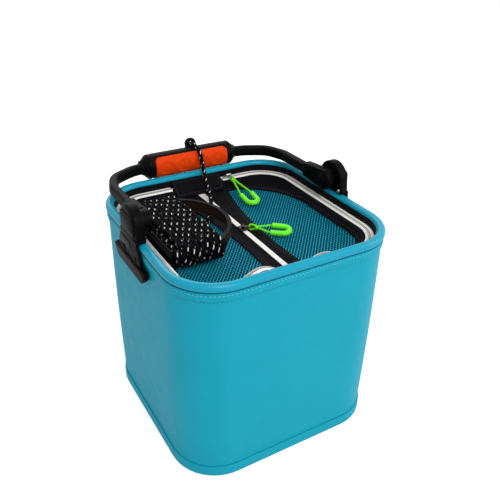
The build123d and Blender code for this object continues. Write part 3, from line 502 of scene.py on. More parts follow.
def woven_cloth(name, colour, pitch=0.0007, sheen=0.01, light=1.6, wrinkle=0.0008):
    """Plain weave: two sets of even threads at right angles on the UV map, over soft wrinkles. The gaps
    between the threads are painted darker and their crowns lighter: painted shade and painted highlight.
    """
    made = Finish(name, colour, 0.78, 0.05, **{"Sheen Weight": sheen, "Sheen Roughness": 0.5})
    threads = made.place((1 / pitch / 20, 1 / pitch / 20, 1.0), "UV")
    warp = made.waves(3.1416, "X", threads)
    weft = made.waves(3.1416, "Y", threads)
    crossing = made.math("MAXIMUM", warp, weft)
    # Thread height drives the colour: painted shade in the gaps and a painted highlight on the crowns.
    tone = made.blend(made.between(crossing, 0.5, 1.0), shade(colour, 0.55), shade(colour, light))
    creases = made.grain(75.0, 3.0, wrinkle, 0.6)
    return made.finish(colour=tone, normal=made.bump(crossing, 0.00015, 0.7, creases))


def moulded_plastic(name, colour, roughness=0.42):
    """Moulded plastic with a fine spark-eroded grain, its convex edges painted lighter as a painted
    highlight, and faint random dust.
    """
    made = Finish(name, colour, roughness, specular=0.05)
    # Convex edges, found by pointiness, are painted lighter: a painted highlight.
    edge_highlight = made.between(made.add("NewGeometry", "Pointiness", {}), 0.52, 0.60, 0.0, 0.5)
    dust = made.between(made.noise(180.0, 5.0), 0.5, 0.8, 0.0, 0.3)
    tone = made.blend(made.math("ADD", edge_highlight, made.times(dust, 0.25)), colour, shade(colour, 2.6))
    grain = made.grain(1500.0, 2.0, 0.00007, 0.55)
    level = made.between(made.noise(400.0, 3.0), 0.3, 0.7, roughness - 0.06, roughness + 0.08)
    return made.finish(colour=tone, roughness=level, normal=grain)


def soft_grip(colours):
    """Soft orange grip: fine ribs round it, a dull skin and painted shade in its hollows."""
    made = Finish("soft_grip", colours.grip, 0.52, specular=0.07)
    along, _ = made.parts(made.place())
    rib = made.math("SINE", made.times(along, 2 * math.pi / 0.0016))
    tone = made.mottle(160.0, 3.0, colours.grip, 0.86, 1.10)
    # Hollows, found by pointiness, are painted darker: painted shade.
    hollow_shade = made.between(made.add("NewGeometry", "Pointiness", {}), 0.44, 0.5, 1.0, 0.0)
    colour = made.blend(made.times(hollow_shade, 0.5), tone, shade(colours.grip, 0.45))
    ribs = made.bump(rib, 0.00012, 0.5)
    return made.finish(colour=colour, normal=made.grain(1800.0, 2.0, 0.00006, 0.4, ribs))


def polished_metal(name, colour=(0.60, 0.59, 0.57), roughness=0.22):
    """Plated metal with faint brushing and dull spots."""
    made = Finish(name, colour, roughness, Metallic=1.0)
    tone = made.mottle(300.0, 4.0, colour, 0.72, 1.1)
    level = made.between(made.noise(500.0, 4.0), 0.3, 0.7, roughness - 0.08, roughness + 0.16)
    return made.finish(colour=tone, roughness=level, normal=made.grain(900.0, 3.0, 0.00003, 0.4))


def zip_tape(colours, channel=True):
    """Knitted zip tape: cross ribs on the UV map, and a dark band under the teeth as a painted shadow, strong
    if asked for and faint otherwise.
    """
    made = Finish("zip_tape" if channel else "plain_zip_tape", colours.tape, 0.7, specular=0.2)
    along, across = made.parts(made.place(space="UV"))
    rib = made.math("SINE", made.times(along, 2 * math.pi / 0.0009))
    # Band under the teeth painted dark: a painted shadow.
    dark = made.between(across, 0.66, 0.74)
    tone = made.mottle(220.0, 4.0, colours.tape, 0.92, 1.06)
    colour = made.blend(made.times(dark, 0.9 if channel else 0.12), tone, (0.05, 0.045, 0.045))
    return made.finish(colour=colour, normal=made.bump(rib, 0.00008, 0.6))


def plain_finish(name, colour, roughness, scale, spread=0.1, depth=0.00005, specular=0.5):
    """Small moulded or spun things: slight variation of colour and a fine bump."""
    made = Finish(name, colour, roughness, specular)
    tone = made.mottle(scale, 4.0, colour, 1 - spread, 1 + spread)
    return made.finish(colour=tone, normal=made.grain(4 * scale, 3.0, depth, 0.5))


def rope_braid(colours):
    """Braided rope: strands that cross in a diamond pattern, with pale flecks on a tracer strand. A fleck
    is where two slow spirals, of twice the turns less and plus the metres along over a fleck's pitch, are
    both near their middle."""
    made = Finish("rope_braid", colours.cloth, 0.65, specular=0.04)
    along, around, strand = made.braid(0.0021, 6)
    twice = made.times(around, 2.0)
    passed = made.math("DIVIDE", along, 0.0124)
    off = [
        made.math("ABSOLUTE", made.math("SUBTRACT", made.math("FRACT", made.math(way, twice, passed)), 0.5))
        for way in ("SUBTRACT", "ADD")
    ]
    dash = made.times(made.between(off[0], 0.06, 0.10, 1.0, 0.0), made.between(off[1], 0.25, 0.29, 1.0, 0.0))
    fleck = made.times(dash, made.between(made.noise(170.0, 0.0), 0.43, 0.47))
    # Strand height drives the colour: painted shade between the strands and a painted highlight on their
    # crowns.
    dark = made.blend(made.between(strand, 0.2, 1.0), shade(colours.cloth, 0.4), shade(colours.cloth, 1.3))
    pale = made.blend(made.noise(900.0, 4.0), (0.60, 0.59, 0.57), (0.95, 0.94, 0.92))
    return made.finish(colour=made.blend(fleck, dark, pale), normal=made.bump(strand, 0.00028, 0.9))


def mesh_strand(colours):
    """Knitted strand of the windows, whose yarn varies in tone."""
    made = Finish("mesh_strand", colours.mesh, 0.40, specular=0.1)
    tone = made.mottle(700.0, 3.0, colours.mesh, 0.75, 1.25)
    return made.finish(colour=tone, normal=made.grain(2400.0, 2.0, 0.00008, 0.6))


# Finishes that several pieces share, by name
finishes = {}


def finish(name):
    """Material by name, made on first use from the colours in the scene."""
    colours = bpy.context.scene.bucket_colours
    if not finishes:
        finishes.update({
            "sheet": coated_sheet(colours),
            "piping": piping_sheet(colours),
            "cloth": woven_cloth("lid_cloth", colours.cloth),
            "binding": woven_cloth("binding_tape", shade(colours.cloth, 1.1), 0.0011, 0.02, 1.9, 0.0003),
            "plastic": moulded_plastic("moulded_plastic", colours.plastic),
            "panel": moulded_plastic("grey_panel", (0.020, 0.0205, 0.022), 0.34),
            "grip": soft_grip(colours),
            "steel": polished_metal("plated_metal"),
            "dark_metal": polished_metal("dark_metal", (0.055, 0.048, 0.042), 0.35),
            # The bow takes a brown copy of the black plastic, many times lighter: a painted reflection.
            "bow": moulded_plastic("bow_painted_reflection", (0.030, 0.0150, 0.0085)),
            "white_teeth": plain_finish("white_teeth", (0.80, 0.79, 0.76), 0.45, 300.0, 0.06),
            "white_tape": zip_tape(colours, False),
            "tape": zip_tape(colours),
            "teeth": plain_finish("zip_teeth", (0.60, 0.58, 0.54), 0.40, 300.0, 0.12, specular=0.2),
            "rope": rope_braid(colours),
            "mesh": mesh_strand(colours),
            # Near-black cloth under the mesh strands: painted shade for the inside of the bucket.
            "painted_shade_sheet": woven_cloth("mesh_ground", (0.001, 0.003, 0.004), 0.0006, 0.0, 2.2, 0.0002),
            "thread": plain_finish("sewing_thread", (0.13, 0.54, 0.58), 0.6, 500.0),
            "dark_thread": plain_finish("dark_thread", (0.011, 0.012, 0.014), 0.6, 500.0, 0.2),
            "pull": plain_finish("pull_rubber", colours.pull, 0.32, 120.0, 0.06, 0.00003, 0.3),
            "pull_cord": pull_braid(colours),
            "rod": plain_finish("plain_rod", (0.52, 0.52, 0.48), 0.4, 200.0),
        })
    return finishes[name]


def pull_braid(colours):
    """Thin braided cord of the pulls, with strands that cross on the UV map."""
    made = Finish("pull_braid", colours.pull, 0.5, specular=0.1)
    *_, strand = made.braid(0.0012, 4)
    # Strand height drives the colour: painted shade between the strands and a painted highlight on their
    # crowns.
    tone = made.blend(made.between(strand, 0.1, 1.0), shade(colours.pull, 0.75), shade(colours.pull, 1.05))
    return made.finish(colour=tone, normal=made.bump(strand, 0.00015, 0.8))


def bead(length, width, height, rings=5, around=8):
    """Small rounded block along X: each ring is an ellipse that narrows towards both ends as the cube
    root of one less the share of the half length cubed."""
    share = np.linspace(-0.94, 0.94, rings)
    swell = np.cbrt(1 - np.abs(share) ** 3)
    angle = np.linspace(0, 2 * np.pi, around, endpoint=False)
    points = np.stack([
        np.repeat(share[:, None] * length / 2, around, 1),
        swell[:, None] * np.cos(angle) * width / 2,
        swell[:, None] * np.sin(angle) * height / 2,
    ], -1).reshape(-1, 3)
    ring, turn = np.meshgrid(np.arange(rings - 1), np.arange(around), indexing="ij")
    ring, turn = ring.ravel(), turn.ravel()
    following = (turn + 1) % around
    faces = np.stack([
        ring * around + turn,
        (ring + 1) * around + turn,
        (ring + 1) * around + following,
        ring * around + following,
    ], -1)[:, ::-1].tolist()
    return points, faces + [list(range(around)), [(rings - 1) * around + c for c in range(around)][::-1]]


def repeated(name, shape, places, along, up, material):
    """Copies of a small shape. Each copy's point is its place + x along + y times (up x along) + z up."""
    points, faces = shape
    along = unit(np.broadcast_to(np.asarray(along, float), places.shape))
    up = np.broadcast_to(np.asarray(up, float), places.shape)
    up = unit(up - np.sum(up * along, 1, keepdims=True) * along)
    axes = np.stack([along, np.cross(up, along), up], 1)
    grid = places[:, None] + np.einsum("pk,nkd->npd", points, axes)
    starts = np.arange(len(places)) * len(points)
    faces = [[int(start) + corner for corner in face] for start in starts for face in faces]
    return add_object(name, grid.reshape(-1, 3), faces, material)


def stitches(name, path, length, width, up, material, closed=False, share=0.62):
    """A row of stitches along a path: one small bead for each stitch, with gaps between them."""
    spots = spaced(path, length, closed)
    step = np.roll(spots, -1, 0) - spots
    middles = spots + step / 2
    if not closed:
        step, middles = step[:-1], middles[:-1]
    if np.ndim(up) == 2:
        nearest = np.argmin(((middles[:, None] - path[None]) ** 2).sum(2), axis=1)
        up = np.asarray(up)[nearest]
    return repeated(name, bead(length * share, width, width * 0.8, 4, 6), middles, step, up, material)


# Wall and hem
WALL_ROUND = 0.86
WALL_THICKNESS = 0.002
FLOOR_THICKNESS = 0.0026
HEM_SEAM = (0.0014, 0.2231)
RIM_TAPE_HALF = 0.1102


def wall_half(z):
    """Half width of the tapered wall at a height."""
    return BASE_HALF + (WALL_TOP_HALF - BASE_HALF) * np.asarray(z) / WALL_TOP_Z


def wall_rings(profile):
    """Grid of rings round the tapered wall from (distance outside it, height) pairs."""
    rings = []
    for offset, z in profile:
        half = float(wall_half(z)) + offset
        corner = BASE_CORNER + (WALL_TOP_HALF - RIM_STRAIGHT - BASE_CORNER) * z / WALL_TOP_Z + offset
        rings.append(lifted(square_ring(half, corner), z))
    return np.array(rings)


class BUCKET_OT_wall(Operator):
    """Wall, floor and welded band of coated sheet"""

    bl_idname = "bucket.wall"
    bl_label = "Wall and floor"

    def execute(self, context):
        sizes = context.scene.bucket_sizes
        heights = np.linspace(0.0012, WALL_TOP_Z, 56)
        swell = sizes.wall_bulge * np.sin(np.pi * heights / WALL_TOP_Z)
        outer = [(float(s), float(z)) for s, z in zip(swell, heights)]
        inner = [(float(s) - WALL_THICKNESS, float(z)) for s, z in zip(swell[::-1], heights[::-1])]
        grid = wall_rings([*outer, (-0.0006, WALL_TOP_Z + 0.0005), *inner])
        across = np.linspace(0, WALL_ROUND, grid.shape[1] + 1)
        wall = surface("wall_sheet", grid, finish("sheet"), wrap_rows=True, across=across)
        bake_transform(wall)
        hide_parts("wall_shell")

        profile = [(0.0003, 0.0008), (0.0012, 0.0001), *arc_profile((0.0009, 0.0011), 0.0010, -60, 0, 3)]
        profile += [(0.0018, 0.005), (0.0017, 0.0105), *arc_profile((0.0007, 0.0111), 0.0010, 0, 90, 4)]
        profile.append((0.0003, 0.0118))
        band = surface("base_weld_sheet", wall_rings(profile), finish("sheet"), wrap_rows=True)
        rest_on(band, "base", "eva_blue", "base_weld_band")

        edge = [(0.0025, 0.0002), (0.0028, 0.0), (0.020, 0.0), (0.050, 0.0002), (0.080, 0.0003)]
        edge.append((0.111, 0.0004))
        corners = [max(BASE_CORNER - inset, 0.002) for inset, _ in edge]
        low = [lifted(square_ring(BASE_HALF - inset, corner), z) for (inset, z), corner in zip(edge, corners)]
        high = [ring + np.array([0, 0, FLOOR_THICKNESS]) for ring in low[::-1]]
        floor = surface("floor_sheet", np.array(low[::-1] + high[::-1]), finish("sheet"), caps=True)
        rest_on(floor, "base", "eva_blue", "base_panel")
        return {"FINISHED"}


class BUCKET_OT_rim(Operator):
    """Piping over its core, hem band with its stitching, and the black tape inside"""

    bl_idname = "bucket.rim"
    bl_label = "Piping and hem"

    def execute(self, context):
        sizes = context.scene.bucket_sizes
        line = rim_loop(RIM_HALF, RIM_Z, 0.0025)
        tube = swept("piping_tube", line, circle(PIPING_RADIUS, 28), finish("piping"), closed=True)
        rest_on(tube, "rim", "piping_blue", "rim_piping")

        profile = [(0.0003, 0.2172), *arc_profile((0.0008, 0.2175), 0.0006, 250, 360, 3)]
        profile += [(0.0016, 0.2195), (0.0017, 0.2215), (0.0013, 0.2225), (0.0011, HEM_SEAM[1])]
        profile += [(0.0013, 0.2237), (0.0018, 0.2243), (0.0017, 0.2250), (0.0004, 0.2256)]
        hem = surface("hem_sheet", wall_rings(profile), finish("sheet"), wrap_rows=True)
        rest_on(hem, "rim", "eva_blue", "hem_band")

        row = wall_rings([HEM_SEAM])[0]
        outward = lifted(quarter_turned(unit(np.roll(row, -1, 0) - np.roll(row, 1, 0))), 0.0)
        thread = stitches("hem_stitches", row, sizes.stitch, 0.0009, outward, finish("thread"), closed=True)
        rest_on(thread, "rim", "eva_blue")

        section = [(-0.0003, 0.0003), (0.0003, 0.0003), (0.0002, -0.0022), (-0.0002, -0.0050)]
        section += [(-0.0003, -0.0078), (-0.0009, -0.0080), (-0.0008, -0.0050), (-0.0004, -0.0022)]
        tape_line = rim_loop(RIM_TAPE_HALF, RIM_Z - 0.0006, 0.004)
        tape = swept("rim_tape", tape_line, section_outwards(section), finish("binding"), closed=True)
        rest_on(tape, "rim", "black_cloth", "zip_tape_wall")
        return {"FINISHED"}


def section_outwards(section):
    """Section from (distance outwards, rise) pairs, as the (side, up) pairs of a path that runs round the
    mouth with Z as its reference: the side there is up, and the tangent times it points outwards."""
    return np.asarray(section, float)[..., ::-1]


# The lid's shape
LID_EDGE_HALF = 0.1033
LID_EDGE_RISE = 0.0097
WINDOW_CENTRE = (0.055, -0.005)
STRAND_HEADING = math.radians(50)
STRAND_RADII = (0.00055, 0.00042)
MESH_TUCK = 0.0026
MESH_BELOW = 0.0019
# Dark sheet under the mesh: painted shade for the inside of the bucket.
SHADE_SHEET_BELOW = 0.0011
SHADE_SHEET_THICKNESS = 0.0003
SHADE_SHEET_ROWS = 28
SEAM_MARGINS = (0.0022, 0.0052)
SEAM_STITCH = (0.0034, 0.0006)
BORDER_ROWS = 22
LID_THICKNESS = 0.0009


def front_rise(x):
    """How far the lid's front edge bulges up: two humps, each its height times sin squared of half a
    turn."""
    rise = np.zeros_like(x)
    for start, end, height in ((-0.068, -0.010, 0.0098), (0.004, 0.054, 0.0060)):
        share = np.clip((x - start) / (end - start), 0, 1)
        rise = rise + height * np.sin(np.pi * share) ** 2
    return rise


def lid_height(x, y):
    """Height of the lid's cloth: flat in the middle, and near the zip it climbs by the rise times t
    squared (3 - 2t). t runs from none to one over the last centimetre of the half width that the point
    lies at. The front's bulge is added with a t of its own, over the 17 mm before the front edge."""
    beyond_x, beyond_y = np.maximum(np.abs(x) - RIM_STRAIGHT, 0), np.maximum(np.abs(y) - RIM_STRAIGHT, 0)
    half = RIM_STRAIGHT + np.hypot(beyond_x, beyond_y)
    start = 0.0925 + 0.0025 * np.clip((-x - 0.04) / 0.04, 0, 1)
    t = np.clip((half - start) / (LID_EDGE_HALF - start), 0, 1)
    near = np.clip((-y - 0.083) / 0.017, 0, 1)
    return LID_FLOOR_Z + LID_EDGE_RISE * t * t * (3 - 2 * t) + front_rise(x) * near * near * (3 - 2 * near)


def arc_through(start, middle, end, count=24):
    """Arc through three points, by the centre at the same distance from all of them."""
    (ax, ay), (bx, by), (cx, cy) = start, middle, end
    matrix = np.array([[bx - ax, by - ay], [cx - ax, cy - ay]])
    squares = np.array([bx * bx + by * by - ax * ax - ay * ay, cx * cx + cy * cy - ax * ax - ay * ay]) / 2
    centre = np.linalg.solve(matrix, squares)
    radius = math.hypot(ax - centre[0], ay - centre[1])
    first, between, last = (math.atan2(y - centre[1], x - centre[0]) for x, y in (start, middle, end))
    turn = (last - first) % (2 * math.pi)
    if (between - first) % (2 * math.pi) > turn:
        turn -= 2 * math.pi
    angle = first + np.linspace(0, turn, count)
    return np.stack([centre[0] + radius * np.cos(angle), centre[1] + radius * np.sin(angle)], 1)


def window_outline(side):
    """Outline of a mesh window: straight at the front and the side, with large arcs at the back and the
    middle."""
    back = arc_through((0.044, 0.090), (0.0795, 0.065), (0.0945, 0.022))
    front = arc_through((0.0945, -0.064), (0.0875, -0.083), (0.0685, -0.091), 12)
    inner = arc_through((0.019, -0.091), (0.0165, -0.030), (0.033, 0.090), 30)
    return np.vstack([back, front, inner]) * np.array([side, 1.0])


def by_angle(outline, centre, angles):
    """Distance from a centre to an outline at each angle, by interpolation between the outline's points."""
    outline = np.asarray(outline) - centre
    turn = np.arctan2(outline[:, 1], outline[:, 0])
    reach = np.hypot(outline[:, 0], outline[:, 1])
    order = np.argsort(turn)
    return np.interp(angles, turn[order], reach[order], period=2 * math.pi)


def dense(outline, step=0.0006):
    """Closed outline with points close together."""
    return spaced(lifted(outline, 0.0), step, closed=True)[:, :2]


def window_grid(side, first, last, rows, columns=260):
    """Points between shares of the way from a window's centre (0) to its outline (1) and on to the lid's
    edge (2)."""
    centre = np.array([side * WINDOW_CENTRE[0], WINDOW_CENTRE[1]])
    ring = rim_loop(LID_EDGE_HALF, 0, 0.0006)[:, :2]
    ring = ring[ring[:, 0] * side >= 0]
    seam = np.linspace(-LID_EDGE_HALF, LID_EDGE_HALF, 400)
    outer = np.vstack([ring, np.column_stack([np.zeros(400), seam])])
    corners = [math.atan2(y - centre[1], -centre[0]) for y in (-LID_EDGE_HALF, LID_EDGE_HALF)]
    angles = np.sort(np.concatenate([np.linspace(-math.pi, math.pi, columns, endpoint=False), corners]))
    inner_reach = by_angle(dense(window_outline(side)), centre, angles)
    outer_reach = by_angle(outer, centre, angles)
    share = np.linspace(first, last, rows)[:, None]
    reach = np.where(share <= 1, share * inner_reach, inner_reach + (share - 1) * (outer_reach - inner_reach))
    return centre[0] + reach * np.cos(angles), centre[1] + reach * np.sin(angles), share


def inside_runs(outline, point, direction):
    """Stretches of a straight line inside an outline, as distances from the point."""
    normal = np.array([-direction[1], direction[0]])
    side = (outline - point) @ normal
    following = np.roll(outline, -1, 0)
    side_after = np.roll(side, -1)
    crossed = np.nonzero(side * side_after < 0)[0]
    share = side[crossed] / (side[crossed] - side_after[crossed])
    hits = outline[crossed] + share[:, None] * (following[crossed] - outline[crossed])
    runs = np.sort((hits - point) @ direction)
    return [(runs[i], runs[i + 1]) for i in range(0, len(runs) - 1, 2) if runs[i + 1] - runs[i] > 0.004]


def grown(outline, margin):
    """Outline moved outwards by a margin."""
    normal = quarter_turned(unit(np.roll(outline, -1, 0) - np.roll(outline, 1, 0)))
    outwards = np.sign(np.sum(normal * (outline - outline.mean(0)), 1).mean())
    return outline + outwards * margin * normal


def mesh_window(side, name):
    """Knitted mesh of a window: strands with a knot every few millimetres, and rungs that join them in turns.
    A dark woven sheet under them is painted shade for the inside of the bucket, and comes back as a second
    piece."""
    sizes = bpy.context.scene.bucket_sizes
    outline = grown(dense(window_outline(side), 0.001), MESH_TUCK)
    centre = np.array([side * WINDOW_CENTRE[0], WINDOW_CENTRE[1]])
    heading = np.array([math.cos(STRAND_HEADING), math.sin(STRAND_HEADING)])
    across = np.array([heading[1], -heading[0]])
    edge = window_grid(side, 1.0, 1.0, 1)
    edge = np.stack([edge[0][0], edge[1][0]], 1)
    turn = np.arctan2(edge[:, 1] - centre[1], edge[:, 0] - centre[0])
    reach = np.hypot(edge[:, 0] - centre[0], edge[:, 1] - centre[1])

    def height(x, y):
        """Height of the mesh: the lid's height less a margin, and less a sag that is greatest at the
        centre."""
        angle = np.arctan2(y - centre[1], x - centre[0])
        limit = np.interp(angle, turn, reach, period=2 * math.pi)
        share = np.clip(np.hypot(x - centre[0], y - centre[1]) / limit, 0, 1)
        return lid_height(x, y) - MESH_BELOW - sizes.mesh_sag * (1 - share**2)

    strands, rungs = [], []
    count = int(0.11 / sizes.strand_pitch)
    for number in range(-count, count + 1):
        point = centre + across * number * sizes.strand_pitch
        for low, high in inside_runs(outline, point, heading):
            along = np.arange(low, high, 0.0008)
            phase = 2 * np.pi * along / (2 * sizes.bead_pitch) + np.pi * (number % 2)
            flat = point + along[:, None] * heading + 0.00022 * np.sin(phase)[:, None] * across
            path = lifted(flat, height(*flat.T))
            girth = 1 + 0.14 * np.cos(2 * np.pi * along / sizes.bead_pitch)
            section = circle(1.0, 6)[None] * girth[:, None, None] * np.array(STRAND_RADII)
            strands.append(swept("strand", path, section, finish("mesh"), reference=(*across, 0)))
        middle = point + across * sizes.strand_pitch / 2
        for low, high in inside_runs(outline, middle, heading):
            first = math.ceil(low / (2 * sizes.bead_pitch)) + 0.5 * (number % 2)
            along = np.arange(first * 2 * sizes.bead_pitch, high, 2 * sizes.bead_pitch)
            flat = middle + along[:, None] * heading
            if len(flat):
                rungs.append(lifted(flat, height(*flat.T) - 0.0003))
    rungs = np.vstack(rungs)
    shape = bead(sizes.strand_pitch * 0.75, 0.0006, 0.0006, 4, 6)
    cross = repeated("rungs", shape, rungs, (*across, 0), (0, 0, 1), finish("mesh"))
    mesh = merged(name, [*strands, cross])
    # Dark sheet under the strands: painted shade that stands for the darkness inside the bucket.
    x, y, _ = window_grid(side, 0.02, 1.10, SHADE_SHEET_ROWS, 120)
    painted_shade_sheet = np.stack([x, y, height(x, y) - SHADE_SHEET_BELOW], -1)
    layers = np.concatenate([painted_shade_sheet, (painted_shade_sheet + np.array([0, 0, SHADE_SHEET_THICKNESS]))[::-1]])
    along, across = 0.004 * np.arange(2 * SHADE_SHEET_ROWS + 1), 0.0045 * np.arange(x.shape[1] + 1)
    return mesh, surface(name + "_ground", layers, finish("painted_shade_sheet"), caps=True, along=along, across=across)


def gathered(piece, slot, *nodes):
    """Makes a piece ride on the lid, hides the CAD nodes it stands for and gives it a mesh of its own."""
    rest_on(piece, "lid", slot, *nodes)
    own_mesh(piece)
    return piece


class BUCKET_OT_lid(Operator):
    """Cloth border of the lid, its two mesh windows and their stitching"""

    bl_idname = "bucket.lid"
    bl_label = "Lid and mesh"

    def execute(self, context):
        for side, word in SIDES:
            mesh, painted_shade_sheet = mesh_window(side, "mesh_" + word)
            gathered(mesh, "mesh_blue", "lid_mesh_" + word)
            gathered(painted_shade_sheet, "black_cloth")
            cloth_name = "lid_cloth_" + word

            x, y, share = window_grid(side, 1.0, 2.0, BORDER_ROWS)
            waves = 0.00022 * (1 + np.sin(90 * x + 140 * y) * np.cos(70 * y - 160 * x))
            ripple = waves * np.sin(np.pi * (share - 1))
            grid = np.stack([x, y, lid_height(x, y) - ripple], -1)
            layers = np.concatenate([grid, grid[::-1] - np.array([0, 0, LID_THICKNESS])])
            along, across = 0.0015 * np.arange(2 * BORDER_ROWS + 1), 0.0024 * np.arange(x.shape[1] + 1)
            cloth = surface(cloth_name, layers, finish("cloth"), wrap_rows=True, along=along, across=across)
            gathered(cloth, "black_cloth")
            rows, thread = [], finish("dark_thread")
            for margin in SEAM_MARGINS:
                flat = grown(dense(window_outline(side), 0.002), margin)
                path = lifted(flat, lid_height(*flat.T) + 0.0001)
                rows.append(stitches("row", path, *SEAM_STITCH, (0, 0, 1), thread, closed=True))
            seam = gathered(merged("window_stitches_" + word, rows), "black_cloth")
            sewn = [seam]
            if side > 0:
                sewn += ["zip_tape_lid", "zip_teeth_lid", "zip_tape_center", "zip_teeth_center"]
        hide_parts("lid_border", "lid_edge")
        return {"FINISHED"}


# Zips
ZIP_LINE = 0.1041
ZIP_START_X = 0.0303
ZIP_SLOPE = 0.55
TAPE_OUT = 0.0055
TAPE_IN = 0.0032
TOOTH_LENGTH = 0.0020
TOOTH_HEIGHT = 0.00105
PATCH_SEAM_X = 0.0285
PATCH_STITCH = (0.0032, 0.0007)


def zip_line(half, z, step):
    """Open path beside the rim: from the left end of the hinge patch round the front to its right end."""
    loop = rim_loop(half, z, step)
    loop[:, 2] += front_rise(loop[:, 0]) * (loop[:, 1] < 0)
    kept = ~((np.abs(loop[:, 0]) < ZIP_START_X) & (loop[:, 1] > 0))
    first = int(np.nonzero(kept & ~np.roll(kept, 1))[0][0])
    return np.roll(loop, -first, 0)[: int(kept.sum())]


def tape_strip(name, line, near, far):
    """Strip of zip tape beside the mouth, between two distances outwards from its line. It bows up a
    little, and inside the first millimetre it slopes down with the lid."""
    share = np.linspace(0, 1, 6)
    top = [(near + (far - near) * s, 0.0002 + 0.00012 * math.sin(math.pi * s)) for s in share]
    top = [(offset, rise - ZIP_SLOPE * max(0.0, -offset - 0.0010)) for offset, rise in top]
    bottom = [(offset, rise - 0.0005) for offset, rise in top[::-1]]
    across = [*share, *share[::-1], 0.0]
    return swept(name, line, section_outwards(top + bottom), finish("tape"), across=across)


def tooth_row(name, line, outward, material="teeth"):
    """Row of teeth along a line, each lying across it. The inner row stands half a pitch further on."""
    pitch = bpy.context.scene.bucket_sizes.tooth_pitch
    spots = spaced(line, pitch)
    tangent = unit(np.gradient(spots, axis=0))
    side = np.cross(tangent, np.array([0.0, 0.0, 1.0])) * outward
    places = spots + side * 0.0004 + tangent * pitch * (0.0 if outward > 0 else 0.5)
    tooth = bead(TOOTH_LENGTH, pitch * 0.56, TOOTH_HEIGHT, 4, 6)
    return repeated(name, tooth, places, side, (0, 0, 1), finish(material))


class BUCKET_OT_zips(Operator):
    """Zip round the lid and zip down its middle, with the front's gusset and the patch at the hinge"""

    bl_idname = "bucket.zips"
    bl_label = "Zips"

    def execute(self, context):
        line, fine = (zip_line(ZIP_LINE, ZIP_Z - 0.0006, step) for step in (0.0025, 0.0007))
        rest_on(tape_strip("zip_tape_rim", line, TAPE_OUT, 0.0002), "rim", "zip_white", "zip_half_rim")
        rest_on(tooth_row("zip_teeth_rim", fine, 1), "rim", "zip_white")
        front = line[(line[:, 1] < 0) & (np.abs(line[:, 0]) < 0.07)]
        outer = TAPE_OUT + 0.0004
        section = np.tile([(TAPE_OUT, 0.0), (outer, 0.0), (outer, 0.0), (TAPE_OUT, 0.0)], (len(front), 1, 1))
        section[:, 0:2, 1], section[:, 2:4, 1] = -front_rise(front[:, :1]) - 0.0012, 0.0001
        gusset = swept("zip_gusset", front, section_outwards(section), finish("cloth"))
        rest_on(gusset, "rim", "black_cloth")
        gathered(tape_strip("zip_tape_lid", line, -TAPE_IN, -0.0002), "zip_white", "zip_half_lid")
        gathered(tooth_row("zip_teeth_lid", fine, -1), "zip_white")

        y = np.linspace(-0.0985, 0.0965, 60)
        spread = 0.0027 + 0.0016 * np.clip((y - 0.045) / 0.05, 0, 1) ** 2
        path = np.column_stack([0 * y, y, lid_height(0 * y, y) + 0.00055])
        share = np.linspace(-1, 1, 9)
        section = [
            [(w * s, 0.0001 * (1 - s * s)) for s in share] + [(w * s, -0.0005) for s in share[::-1]]
            for w in spread
        ]
        half = 1.0 - np.abs(share)
        how = {"reference": (1, 0, 0), "across": [*half, *half, 0.0]}
        tape = swept("zip_tape_center", path, section, finish("white_tape"), **how)
        rest_on(tape, "lid", "zip_white", "zip_chain_center")
        line = spaced(path + np.array([0, 0, 0.0002]), 0.0007)
        rows = [tooth_row("row", line, outward, "white_teeth") for outward in (1, -1)]
        rest_on(merged("zip_teeth_center", rows), "lid", "zip_white")
        self.patch()
        return {"FINISHED"}

    def patch(self):
        """Cloth patch at the hinge: a sheet over the lid's edge and up to the piping, sewn on along its
        four sides."""
        profile = np.array([
            (0.1106, 0.2292), (0.1099, 0.2274), (0.1088, 0.2262), (0.1065, 0.2250), (0.1040, 0.2236),
            (0.1012, 0.2222), (0.0985, 0.2196), (0.0962, 0.2170), (0.0940, 0.2150), (0.0925, 0.2141),
        ])
        line = spaced(np.column_stack([np.zeros(len(profile)), profile]), 0.0007)
        normal = quarter_turned(unit(np.gradient(line[:, 1:], axis=0)))
        normal *= np.sign(normal[:, 1].mean())
        up = np.column_stack([np.zeros(len(line)), normal])
        x = np.linspace(-0.0302, 0.0302, 49)
        low = line[None] + x[:, None, None] * np.array([1.0, 0, 0])
        arch = np.sin(np.linspace(0, np.pi, len(line)))
        wave = 0.0002 * np.sin(260 * x)[:, None, None] * arch[None, :, None]
        grid = np.concatenate([low, (low + up[None] * (0.0009 + wave))[:, ::-1]], 1)
        far = travelled(line)
        across = np.concatenate([far, far[::-1], [0.0]])
        sheet = surface("hinge_patch_cloth", grid, finish("binding"), caps=True, along=x, across=across)
        sewn, reach = line + 0.0010 * up, np.array([PATCH_SEAM_X, 0, 0])
        seams = [(sewn[at] + np.linspace(-1, 1, 60)[:, None] * reach, up[at]) for at in (4, -6)]
        seams += [((sewn + side * reach)[4:-5], up[4:-5]) for side in (-1, 1)]
        rows = [stitches("row", path, *PATCH_STITCH, way, finish("dark_thread")) for path, way in seams]
        seam = merged("hinge_patch_stitches", rows)
        for piece in (sheet, seam):
            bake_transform(piece)
        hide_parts("lid_hinge_patch")


